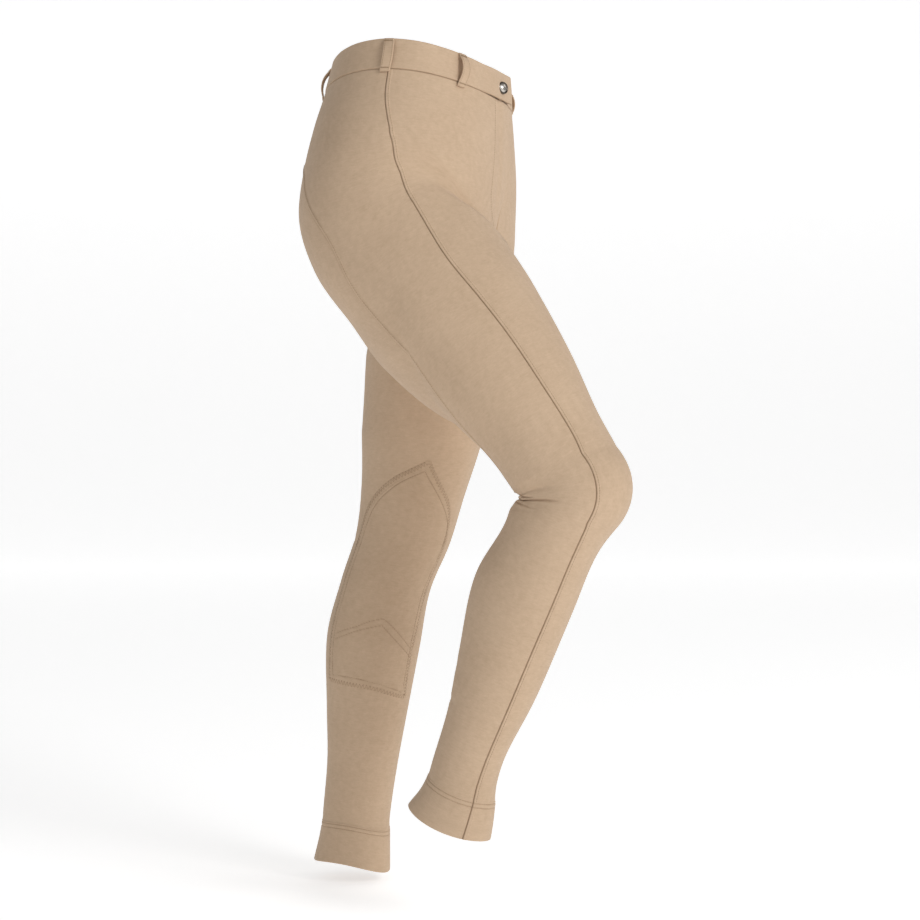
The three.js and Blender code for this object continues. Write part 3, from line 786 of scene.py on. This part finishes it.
def waistband(materials):
    pace = 2.0
    ends = np.array([0, 0.03, 0.1, 0.22, 0.4, 0.7, 1.1, 1.6, 2.4]) / pace
    first, last = -BAND_UNDERLAP, 360 + BAND_OVERLAP
    turns = np.concatenate([first + ends, np.linspace(first + 2, last - 2, 300), (last - ends)[::-1]])
    ends = np.array([0, 0.03, 0.12, 0.3, 0.6, 1.0, 1.6, 2.4, 3.4, 4.4])
    levels = np.concatenate([ends, np.linspace(5.8, BAND_HEIGHT - 5, 12), (BAND_HEIGHT - ends[:-1])[::-1]])
    turn, level = np.meshgrid(turns, levels)
    points, normals = cloth_round(turn, level)
    across = np.minimum((turn - first) * pace, (last - turn) * pace)
    radius = BAND_WALL / 2
    close = np.minimum(across, np.minimum(level, BAND_HEIGHT - level))
    wave = 0.16 * np.sin(np.radians(turn * 11)) * np.sin(np.radians(turn * 7 + 40))
    wave = wave + 0.12 * np.sin(np.radians(turn * 23))
    puff = 0.35 * np.sin(np.pi * np.clip(level / BAND_HEIGHT, 0, 1))
    out = band_face(turn) + rolled(close, radius) + wave + puff
    inner = band_face(turn) + wave - BAND_WALL - rolled(close, radius) + 0.02
    uv = np.stack([turn * BAND_PACE, level], -1)
    # Painted shade: the band is darker along its lower edge, where it meets the panels.
    shade = 1 - 0.3 * groove(BAND_HEIGHT - level, 0.8)
    return shell("waistband_cloth", [layers(points, normals, out, inner, uv, shade)], materials)


# ---- Belt loops ----
LOOP_WIDTH = 11
LOOP_WALL = 1.8
LOOP_STEP = 0.7
LOOP_STITCH = 1.6  # distance of a loop's stitches from its edges
LOOPS = table(
    "turn bow skew low",
    [
        (-54.3, 7.2, 0.5, 40.5),
        (-89, 5.0, 1.6, 38.5),
        (-152, 6.8, -0.6, 39.5),
        (152, 6.6, 0.5, 39.5),
        (89, 5.6, -1.2, 38.5),
        (53, 7.0, -0.5, 40.5),
    ],
)
LOOP_NAMES = ["front_right", "side_right", "back_right", "back_left", "side_left", "front_left"]


def loop_path(bow, low):
    """The strip's middle from its folded top end to its curled lower end, as level and height."""
    fold = [(7.5, 0.55), (4.2, 0.55), (2.2, 0.9), (1.8, 1.8), (2.8, 2.5), (5.4, 2.4 + 0.12 * bow)]
    strip = [(9, 1.2 + 0.62 * bow), (14, 0.8 + 0.93 * bow), (20, 0.9 + bow), (26.5, 0.9 + 0.84 * bow),
             (32, 1.2 + 0.46 * bow)]
    curl = [(low - 3.2, 2.1), (low - 0.9, 1.7), (low, 0.7), (low - 1, -0.1), (low - 3, -0.2)]
    return through(fold + strip + curl, LOOP_STEP)


def round_pace(centre, level):
    """Millimetres of cloth for each degree round the waist."""
    ends, _ = cloth_round(np.array([centre - 0.5, centre + 0.5]), level)
    return float(np.linalg.norm(ends[1] - ends[0]))


def belt_loop(name, turn, bow, skew, low, materials):
    centre = turn % 360
    path = loop_path(bow, low)
    level, height = path.T
    pace = round_pace(centre, 18)
    half = LOOP_WIDTH / 2
    rims = np.array([0, 0.06, 0.2, 0.45, 0.8, 1.2, 1.6, 2.0, 2.6, 3.6])
    across = np.concatenate([-half + rims, [0], (half - rims)[::-1]])
    step = np.gradient(path, axis=0)
    step /= np.linalg.norm(step, axis=1, keepdims=True)
    radius = LOOP_WALL / 2
    edge = half - np.abs(across)
    thick = radius + rolled(edge, radius) - 0.16 * groove(edge - LOOP_STITCH, 0.4)
    ends = np.minimum(np.arange(len(path)), np.arange(len(path))[::-1]) * LOOP_STEP
    thick = np.maximum(thick[None, :] + rolled(ends, radius)[:, None], 0.02)
    sway = skew * np.sin(np.pi * np.clip((level - 1) / (low - 1), 0, 1))
    where = centre + (across[None, :] + sway[:, None]) / pace
    base = band_face(centre)

    def placed(shift):
        lifted = height[:, None] - step[:, :1] * -shift
        lowered = level[:, None] - step[:, 1:] * shift
        points, normals = cloth_round(where, lowered)
        return points + normals * (base + lifted)[..., None]

    front = placed(thick)
    run = LOOP_STEP * np.arange(1, len(path) + 1)
    grid = {
        "outer": front,
        "inner": placed(-thick),
        "uv": np.stack(np.meshgrid(across + 40, run), -1),
        # Painted shade in the grooves of the loop's stitch rows.
        "shade": np.broadcast_to(1 - 0.12 * groove(edge - LOOP_STITCH, 0.5), thick.shape),
        "face": front,
    }
    obj, area = shell(f"loop_{name}", [grid], materials)
    middle = len(across) // 2
    lean = unit(placed(np.ones_like(thick))[:, middle] - placed(np.zeros_like(thick))[:, middle])
    sewn = slice(10, -12)  # the part of the path between the bar tacks
    rows = []
    for offset in (LOOP_STITCH - half, half - LOOP_STITCH):
        points, normals = cloth_round(centre + (offset + sway) / pace, level - step[:, 1] * (radius - 0.12))
        line = points + normals * (base + height + step[:, 0] * (radius - 0.12))[:, None]
        rows.append(Line(line[sewn], lean[sewn]))
    return obj, rows, area


# ---- Knee patches ----
PATCH_EDGES = table(
    "level near far",
    [(459, -60, -56), (466, -69, -53), (484, -95, -42), (508, -119, -24), (535, -136, -13),
     (580, -146, -8), (640, -149, -9), (690, -149, -15), (742, -149, -12)],
)
PATCH_TOP, PATCH_LOW = 459, 742  # levels
PATCH_TURN = {RIGHT: -10, LEFT: 0}
PATCH_DIP, PATCH_DIP_LEVEL = 9, 535  # the far edge hangs lower, from this level down
PATCH_FACE = 0.85
PATCH_ZIGZAG = 5.2  # width of the zigzag along the patch's edge
ZIGZAG_PITCH = 4.2
INWARD = {"near": -1, "far": 1, "top": -1, "low": 1}  # the side of each edge line that the patch is on

# Rows of straight stitches on a patch, as (level, angle).
PATCH_ROWS = [
    [(472, -61), (479, -72), (487, -84), (496.5, -95), (508, -106), (519, -115), (533, -123),
     (555, -130.5), (588, -135), (640, -138), (690, -139), (715, -138.5), (733, -137)],
    [(472, -61), (483, -54), (499, -42), (511, -33), (522, -25), (535, -18), (553, -15), (590, -16),
     (640, -19), (690, -22), (738, -22)],
    [(733, -137), (731, -102), (733, -73), (736, -52), (743, -25)],
    [(682, -136), (673, -115), (667, -100), (660, -86), (655, -69)],
    [(655, -69), (661, -58), (673, -42), (690, -21)],
    [(689, -136), (673.5, -101), (667, -82), (663, -69)],
    [(663, -69), (673, -56), (685, -40), (698, -22)],
]


def patch_edge(side, column, level):
    return column_at(PATCH_EDGES, column, level) + PATCH_TURN[side]


def patch_drop(level, across):
    down = smooth((level - PATCH_DIP_LEVEL) / (PATCH_LOW - PATCH_DIP_LEVEL))
    return PATCH_DIP * smooth(1 - across * 2) * down


def patch_outline(side):
    down = np.arange(PATCH_TOP, PATCH_LOW + 0.1, 1.0)
    share = np.linspace(0, 1, 60)
    sides = {}
    for column, at in (("near", 1), ("far", 0)):
        sides[column] = line_at(side, down + patch_drop(down, at), patch_edge(side, column, down))
    ends = {}
    for label, level in (("top", PATCH_TOP), ("low", PATCH_LOW)):
        angle = mix(patch_edge(side, "far", level), patch_edge(side, "near", level), share)
        ends[label] = line_at(side, level + patch_drop(level, share), angle)
    return {**sides, **ends}


def knee_patch(name, side, materials):
    edges = np.array([0, 0.06, 0.2, 0.4, 0.7, 1.1, 1.7, 2.5])
    between = np.arange(PATCH_TOP + 4, PATCH_LOW - 4, 1.7)
    levels = np.concatenate([PATCH_TOP + edges, between, (PATCH_LOW - edges)[::-1]])
    rims = edges / 160
    shares = np.concatenate([rims, np.linspace(0.022, 0.978, 96), (1 - rims)[::-1]])
    share, level = np.meshgrid(shares, levels)
    angle = mix(patch_edge(side, "far", level), patch_edge(side, "near", level), share)
    lower = level + patch_drop(level, share)
    points, normals = cloth(side, lower, angle)
    outline = patch_outline(side)
    nearest = np.full(level.shape, 1e3)
    along = np.zeros(level.shape)
    for line in outline.values():
        distance, at = line.reach(points, 30)
        along = np.where(distance < nearest, at, along)
        nearest = np.minimum(nearest, distance)
    press = smooth(1 - nearest / (PATCH_ZIGZAG + 1.5))
    teeth = 0.1 * np.sin(along * 2 * np.pi / 1.9) * band_of(nearest, 0.4, PATCH_ZIGZAG, 0.8)
    out = -crease_depth(side, lower, angle) + PATCH_FACE + rolled(nearest, 0.5) - 0.4 * press + teeth
    out = out - 0.3 * groove(nearest - PATCH_ZIGZAG - 0.6, 0.7)
    # Painted shade: darker at the patch's rolled edge and over the pressed band under its zigzag.
    shade = 1 - 0.08 * groove(nearest, 0.6) - 0.04 * band_of(nearest, 0.2, PATCH_ZIGZAG, 0.8)
    rows = []
    for path in PATCH_ROWS:
        line = line_through(side, [(l, a + PATCH_TURN[side]) for l, a in path])
        distance, at = line.reach(points)
        out = out - 0.38 * groove(distance, 0.6) + 0.14 * band_of(distance, 1.0, 2.6, 1.2)
        out = out + 0.08 * pucker(at, distance, 4, 1.1)
        # Painted shade in the groove under each row of stitches.
        shade = shade * (1 - 0.24 * groove(distance, 0.6))
        rows.append(line)
    inner = np.full(level.shape, 0.12) - crease_depth(side, lower, angle)
    uv = np.stack([row_lengths(points) + 60, lower], -1)
    grid = layers(points, normals, np.maximum(out, inner + 0.15), inner, uv, shade)
    obj, area = shell(name, [grid], materials)
    return obj, rows, outline, area


# ---- Stitches ----
STITCH_PITCH = 2.9
STITCH_LENGTH = 2.1
THREAD = 0.27  # radius


def straight_stitches(line, lift, pitch=STITCH_PITCH, length=STITCH_LENGTH):
    """Starts, ends and normals of the stitches along a line."""
    middle, normal, along = line.spots(np.arange(pitch / 2, line.length - pitch / 2, pitch))
    raised = middle + normal * lift
    return raised - along * length / 2, raised + along * length / 2, normal


def zigzag_stitches(line, inner_way, width, pitch, lift_out, lift_in):
    middle, normal, along = line.spots(np.arange(pitch / 2, line.length - pitch / 2, pitch / 2))
    across = np.cross(along, normal) * inner_way
    inside = (np.arange(len(middle)) % 2 == 0)[:, None]
    spots = middle + np.where(inside, across * width + normal * lift_in, -across * 0.5 + normal * lift_out)
    return spots[:-1], spots[1:], normal[:-1]


def thread_mesh(name, stitches, materials, radius=THREAD):
    """All the stitches as one mesh of short rounded threads, each a little sunk at its ends."""
    start, end, normal = (np.vstack(part) for part in zip(*stitches))
    along = unit(end - start)
    side = unit(np.cross(along, normal))
    up = np.cross(side, along)
    corners = 5
    ring = ring_points(side, up, corners)
    stations = [(0.0, 0.45, -0.28), (0.16, 0.95, 0.0), (0.84, 0.95, 0.0), (1.0, 0.45, -0.28)]
    rings = []
    for share, size, sink in stations:
        middle = mix(start, end, share) + up * sink
        rings.append(middle[:, None] + radius * size * ring)
    each = len(stations) * corners
    number = np.arange(each).reshape(len(stations), corners)
    shift = (np.arange(len(start)) * each)[:, None, None]
    quads = (tube_faces(number)[None] + shift).reshape(-1, 4).tolist()
    caps = (np.array([number[0][::-1], number[-1]])[None] + shift).reshape(-1, corners).tolist()
    return piece(name, smooth_mesh(name, np.stack(rings, 1).reshape(-1, 3), quads + caps), materials)


def bar_tack(centre, level, height, width=8.5, count=14):
    """A short dense bar of stitches across a loop's end."""
    pace = round_pace(centre, level)
    shift = np.linspace(-width / 2, width / 2, count)
    points, normals = cloth_round(centre + shift / pace, level)
    points = points + normals * height
    half = np.array([0, 0, 1.0])
    return points - half, points + half, normals


# ---- Stud ----
STUD_TURN, STUD_LEVEL = 344.9, 20.2
STUD_TILT = 28  # degrees by which it leans to the wearer's right
DOME_RADIUS = 5.1
# The stud from its back to its crown: a rolled ring round a shallow dome.
STUD_PROFILE = [(0, 0), (6.6, 0), (7.1, 0.6), (7.1, 1.3), (6.8, 1.8), (6.2, 2), (5.6, 1.8), (5.2, 1.4),
                (5, 1.3), (4.5, 1.7), (3.2, 2.3), (1.6, 2.7), (0, 2.8)]


def stud_button(materials):
    profile = through(STUD_PROFILE, 0.25)
    corners = 72
    (seat,), (axis,) = cloth_round(np.array([STUD_TURN]), STUD_LEVEL)
    seat = seat + axis * (float(band_face(np.array(STUD_TURN))) + 1.4)
    axis = unit(axis - math.tan(math.radians(STUD_TILT)) * unit(np.cross([0, 0, 1], axis)))
    across = unit(np.cross([0, 0, 1], axis))
    rings = profile[1:-1]
    points = seat + rings[:, 1, None, None] * axis
    points = points + rings[:, 0, None, None] * ring_points(across, np.cross(axis, across), corners)
    number = np.arange(len(rings) * corners).reshape(-1, corners)
    faces = tube_faces(number).tolist()
    foot, crown = number.size, number.size + 1
    for c in range(corners):
        d = (c + 1) % corners
        faces.append([foot, int(number[0, d]), int(number[0, c])])
        faces.append([crown, int(number[-1, c]), int(number[-1, d])])
    ends = [seat, seat + axis * profile[-1, 1]]
    mesh = smooth_mesh("stud", np.vstack([points.reshape(-1, 3), *ends]), faces)
    # 1 on the dome, 0 on the ring, whose dark colour in the metal is a painted reflection.
    dome = np.repeat(rings[:, 0] < DOME_RADIUS, corners)
    set_shade(mesh, np.concatenate([dome, [0, 1]]))
    return piece("stud", mesh, materials)


# ---- Materials ----
class Nodes:
    """A short way to build a material's nodes."""

    def __init__(self, name):
        self.material = bpy.data.materials.new(name)
        self.material.use_nodes = True
        self.tree = self.material.node_tree
        self.shader = next(n for n in self.tree.nodes if n.type == "BSDF_PRINCIPLED")

    def add(self, kind, inputs=(), **settings):
        node = self.tree.nodes.new(kind)
        for key, value in settings.items():
            setattr(node, key, value)
        for key, value in dict(inputs).items():
            self.put(node, key, value)
        return node

    def put(self, node, key, value):
        if isinstance(value, bpy.types.NodeSocket):
            self.tree.links.new(value, node.inputs[key])
        else:
            node.inputs[key].default_value = value

    def math(self, operation, a, b=0.0):
        return self.add("ShaderNodeMath", {0: a, 1: b}, operation=operation).outputs[0]

    def blend(self, share, a, b, kind="MIX"):
        node = self.add("ShaderNodeMix", data_type="RGBA", blend_type=kind)
        for key, value in ((0, share), (6, a), (7, b)):
            self.put(node, key, value)
        return node.outputs[2]

    def weighted(self, *parts):
        """The sum of values, each times its weight."""
        total, *others = [self.math("MULTIPLY", value, weight) for value, weight in parts]
        for other in others:
            total = self.math("ADD", total, other)
        return total

    def scaled(self, vector, *scale):
        return self.add("ShaderNodeMapping", {"Vector": vector, "Scale": scale}).outputs[0]

    def surface(self, inputs):
        """Puts values or links on the shader's own sockets."""
        for key, value in inputs.items():
            self.put(self.shader, key, value)
        return self.material

    def noise(self, vector, scale, detail=2.0, roughness=0.5):
        node = self.add("ShaderNodeTexNoise", {"Scale": scale, "Detail": detail, "Roughness": roughness})
        self.tree.links.new(vector, node.inputs["Vector"])
        return node.outputs["Fac"]


def linear(colour):
    """An sRGB colour, 0 to 255, as linear values with alpha."""
    values = [c / 255 for c in colour]
    return tuple(c / 12.92 if c <= 0.04045 else ((c + 0.055) / 1.055) ** 2.4 for c in values) + (1.0,)


def cloth_material(name, colour, darker, rib):
    """Brushed stretch cotton: fine ribs, a soft uneven nap and flecks, with painted shade in the grooves of
    seams and stitches.
    """
    nodes = Nodes(name)
    cloth_map = nodes.add("ShaderNodeUVMap", uv_map="cloth").outputs[0]
    wide = nodes.noise(cloth_map, 16, 3)
    soft = nodes.noise(cloth_map, 130, 3, 0.6)
    fleck = nodes.noise(nodes.scaled(cloth_map, 1.0, 0.35, 1.0), 1500, 2, 0.7)
    streak = nodes.noise(nodes.scaled(cloth_map, 0.2, 1.0, 1.0), 620, 2, 0.6)
    streak = nodes.math("SUBTRACT", streak, 0.5)
    tone = nodes.weighted((wide, 0.3), (soft, 0.45), (fleck, 0.35), (streak, 0.35))
    tone = nodes.add("ShaderNodeMapRange", {"Value": tone, "From Min": 0.35, "From Max": 0.75}).outputs[0]
    body = nodes.blend(tone, linear(darker), linear(colour))
    shade = nodes.add("ShaderNodeAttribute", attribute_name="shade").outputs["Fac"]
    # The colour of the painted shade in grooves, shown where the shade attribute is below 1.
    dark = tuple(c * share for c, share in zip(linear(darker), (0.46, 0.36, 0.28))) + (1.0,)
    ribs = nodes.add(
        "ShaderNodeTexWave",
        {"Vector": cloth_map, "Scale": 500 / rib, "Distortion": 1.2, "Detail": 2.0},
        wave_type="BANDS",
        bands_direction="X",
    ).outputs["Fac"]
    grain = nodes.weighted((ribs, 0.45), (fleck, 0.55))
    nap = nodes.add("ShaderNodeBump", {"Height": soft, "Strength": 0.25, "Distance": 0.0008}).outputs[0]
    fine = {"Height": grain, "Strength": 0.22, "Distance": 0.0004, "Normal": nap}
    return nodes.surface({
        "Base Color": nodes.blend(shade, dark, body),
        "Roughness": 0.92,
        "Specular IOR Level": 0.18,
        "Sheen Weight": 0.16,
        "Sheen Roughness": 0.45,
        "Sheen Tint": (1.0, 0.95, 0.9, 1.0),
        "Normal": nodes.add("ShaderNodeBump", fine).outputs[0],
    })


def thread_material(name, colour):
    nodes = Nodes(name)
    place = nodes.add("ShaderNodeTexCoord").outputs["Object"]
    tone = nodes.noise(place, 900, 1)
    base = nodes.blend(tone, linear([c * 0.86 for c in colour]), linear(colour))
    return nodes.surface({"Base Color": base, "Roughness": 0.6, "Sheen Weight": 0.1})


def metal_material(name):
    """Polished metal with fine scratches: a dark ring round a brighter dome; the ring's darker colour is a
    painted reflection.
    """
    nodes = Nodes(name)
    place = nodes.add("ShaderNodeTexCoord").outputs["Object"]
    cloudy = nodes.noise(place, 350, 4, 0.6)
    scratches = nodes.noise(nodes.scaled(place, 1, 1, 9), 900, 3)
    dome = nodes.blend(cloudy, linear((176, 170, 162)), linear((206, 201, 194)))
    # share is 0 on the ring, whose dark colour is a painted reflection, and 1 on the dome.
    share = nodes.add("ShaderNodeAttribute", attribute_name="shade").outputs["Fac"]
    rough = nodes.add("ShaderNodeMapRange", {"Value": scratches, "To Min": 0.2, "To Max": 0.3})
    bump = nodes.add("ShaderNodeBump", {"Height": scratches, "Strength": 0.03, "Distance": 0.0001})
    return nodes.surface({
        "Base Color": nodes.blend(share, linear((92, 84, 76)), dome),
        "Metallic": 1.0,
        "Roughness": rough.outputs[0],
        "Normal": bump.outputs[0],
    })


def plain_material(name, colour, glow):
    glowing = {"Emission Color": (1, 1, 1, 1), "Emission Strength": glow}
    return Nodes(name).surface({"Base Color": colour, "Roughness": 0.9, **glowing})


# ---- The object ----
FRONT_STRETCHES = ("hip", "seat", "thigh", "knee", "calf", "shin")  # a panel's solids in the frame
BACK_STRETCHES = ("hip", "thigh", "knee", "shin")
CLOTH = cloth_material("cloth", (205, 179, 152), (188, 162, 135), 0.75)
PATCH_CLOTH = cloth_material("patch_cloth", (203, 177, 150), (186, 160, 133), 0.6)
THREAD_LOOK = thread_material("thread", (170, 141, 110))
METAL = metal_material("stud_metal")

stitches = []
for word, side in SIDES.items():
    lines = panel_lines(side)
    front, front_area = front_inner_panel(f"front_{word}", side, lines, [CLOTH])
    back, back_area = back_outer_panel(f"back_{word}", side, lines, [CLOTH])
    patch, rows, outline, patch_area = knee_patch(f"patch_{word}", side, [PATCH_CLOTH])
    front_nodes = [f"front_inner_{word}_{stretch}" for stretch in FRONT_STRETCHES]
    back_nodes = [f"back_outer_{word}_{stretch}" for stretch in BACK_STRETCHES]
    for obj, nodes, slot, flat, area in (
        (front, front_nodes, "cloth", (0.52, 0.95), front_area),
        (back, back_nodes, "cloth", (0.30, 0.95), back_area),
        (patch, [f"knee_patch_{word}"], "patch_cloth", (0.17, 0.29), patch_area),
    ):
        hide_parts(*nodes)
    for seam in ("side", "rear"):
        stitches.append(straight_stitches(lines[seam].beside(LAP_STITCH * side), LAP - 0.25))
    around = np.linspace(0, 360, 400)
    for height in HEM_LINES[side]:
        stitches.append(straight_stitches(line_at(side, HEM_LEVEL - height, around), 0.15))
    for line in rows:
        stitches.append(straight_stitches(line, PATCH_FACE - 0.2))
    for label, line in outline.items():
        inward = INWARD[label] * side
        stitches.append(zigzag_stitches(line, inward, PATCH_ZIGZAG, ZIGZAG_PITCH, 0.25, PATCH_FACE - 0.1))

FLY_STITCH = [(37, 37), (80, 40), (120, 46), (150, 50), (165, 48), (180, 38), (190, 22), (196, 8)]
fly_rows = through(FLY_STITCH, 1.0)
fly_line = line_at(RIGHT, fly_rows[:, 0], angle_at_distance(RIGHT, fly_rows[:, 0], fly_rows[:, 1], 45))
stitches.append(straight_stitches(fly_line, 0.1))

band, _ = waistband([CLOTH])
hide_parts("waistband")

for name, (turn, bow, skew, low) in zip(LOOP_NAMES, each_row(LOOPS)):
    loop, loop_rows, loop_area = belt_loop(name, turn, bow, skew, low, [CLOTH])
    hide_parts(f"belt_loop_{name}")
    stitches += [straight_stitches(line, 0.0, 2.4, 1.8) for line in loop_rows]
    face = float(band_face(np.array(turn % 360))) + LOOP_WALL / 2
    stitches.append(bar_tack(turn % 360, 4.6, face + 2.4 + 0.12 * bow))
    stitches.append(bar_tack(turn % 360, low - 3.0, face + 2.1))

threads = thread_mesh("stitching", stitches, [THREAD_LOOK])
stud = stud_button([METAL])
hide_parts("stud_button")

# ---- Stage, light and camera ----
FLOOR = -0.975


def backdrop():
    """A floor that curves up into a wall far behind, wide enough for every view."""
    size, radius, steps = 9.0, 2.5, 24
    profile = [(-size, FLOOR)]
    for k in range(steps + 1):
        angle = math.pi / 2 * k / steps
        rise = FLOOR + radius - radius * math.cos(angle)
        profile.append((size - radius + radius * math.sin(angle), rise))
    profile.append((size, FLOOR + 8))
    points = [(x, y, z) for x, z in profile for y in (-size, size)]
    faces = [[2 * k, 2 * k + 1, 2 * k + 3, 2 * k + 2] for k in range(len(profile) - 1)]
    mesh = bpy.data.meshes.new("floor")
    mesh.from_pydata(points, [], faces)
    mesh.polygons.foreach_set("use_smooth", [True] * len(faces))
    obj = bpy.data.objects.new("floor", mesh)
    bpy.context.collection.objects.link(obj)
    mesh.materials.append(plain_material("floor", (0.8, 0.8, 0.8, 1), 0.55))
    obj.rotation_euler[2] = math.radians(16)


backdrop()


def soft_light(name, place, target, size, power, colour=(1, 1, 1)):
    data = bpy.data.lights.new(name, "AREA")
    data.shape = "DISK"
    data.size = size
    data.energy = power
    data.color = colour
    obj = bpy.data.objects.new(name, data)
    obj.location = place
    obj.rotation_euler = (Vector(target) - Vector(place)).to_track_quat("-Z", "Y").to_euler()
    bpy.context.collection.objects.link(obj)


AIM = (0, 0, -0.45)
soft_light("key", (-1.9, -3.6, 1.5), AIM, 2.0, 88)
soft_light("fill", (-3.6, 0.6, 0.9), AIM, 2.6, 10)
soft_light("rim", (1.5, -2.5, 1.8), AIM, 1.6, 8)

world = bpy.data.worlds.new("studio")
world.use_nodes = True
background = world.node_tree.nodes["Background"].inputs
background["Color"].default_value = (1, 1, 1, 1)
background["Strength"].default_value = 0.3
bpy.context.scene.world = world
bpy.context.scene.view_settings.view_transform = "Standard"

CAMERA_AZIMUTH = math.radians(-74)
CAMERA_DISTANCE, CAMERA_HEIGHT, CAMERA_SHIFT = 2.1, -0.46, 0.047
PICTURE_HEIGHT = 1.08555  # metres that the picture covers at the object
SENSOR = 36
look = Vector((-math.sin(CAMERA_AZIMUTH), math.cos(CAMERA_AZIMUTH), 0))
right = Vector((look.y, -look.x, 0))
camera = bpy.data.objects.new("camera", bpy.data.cameras.new("camera"))
camera.data.sensor_width = SENSOR
camera.data.lens = SENSOR * CAMERA_DISTANCE / PICTURE_HEIGHT
camera.location = right * CAMERA_SHIFT + Vector((0, 0, CAMERA_HEIGHT)) - look * CAMERA_DISTANCE
camera.rotation_euler = look.to_track_quat("-Z", "Y").to_euler()
bpy.context.collection.objects.link(camera)
bpy.context.scene.camera = camera
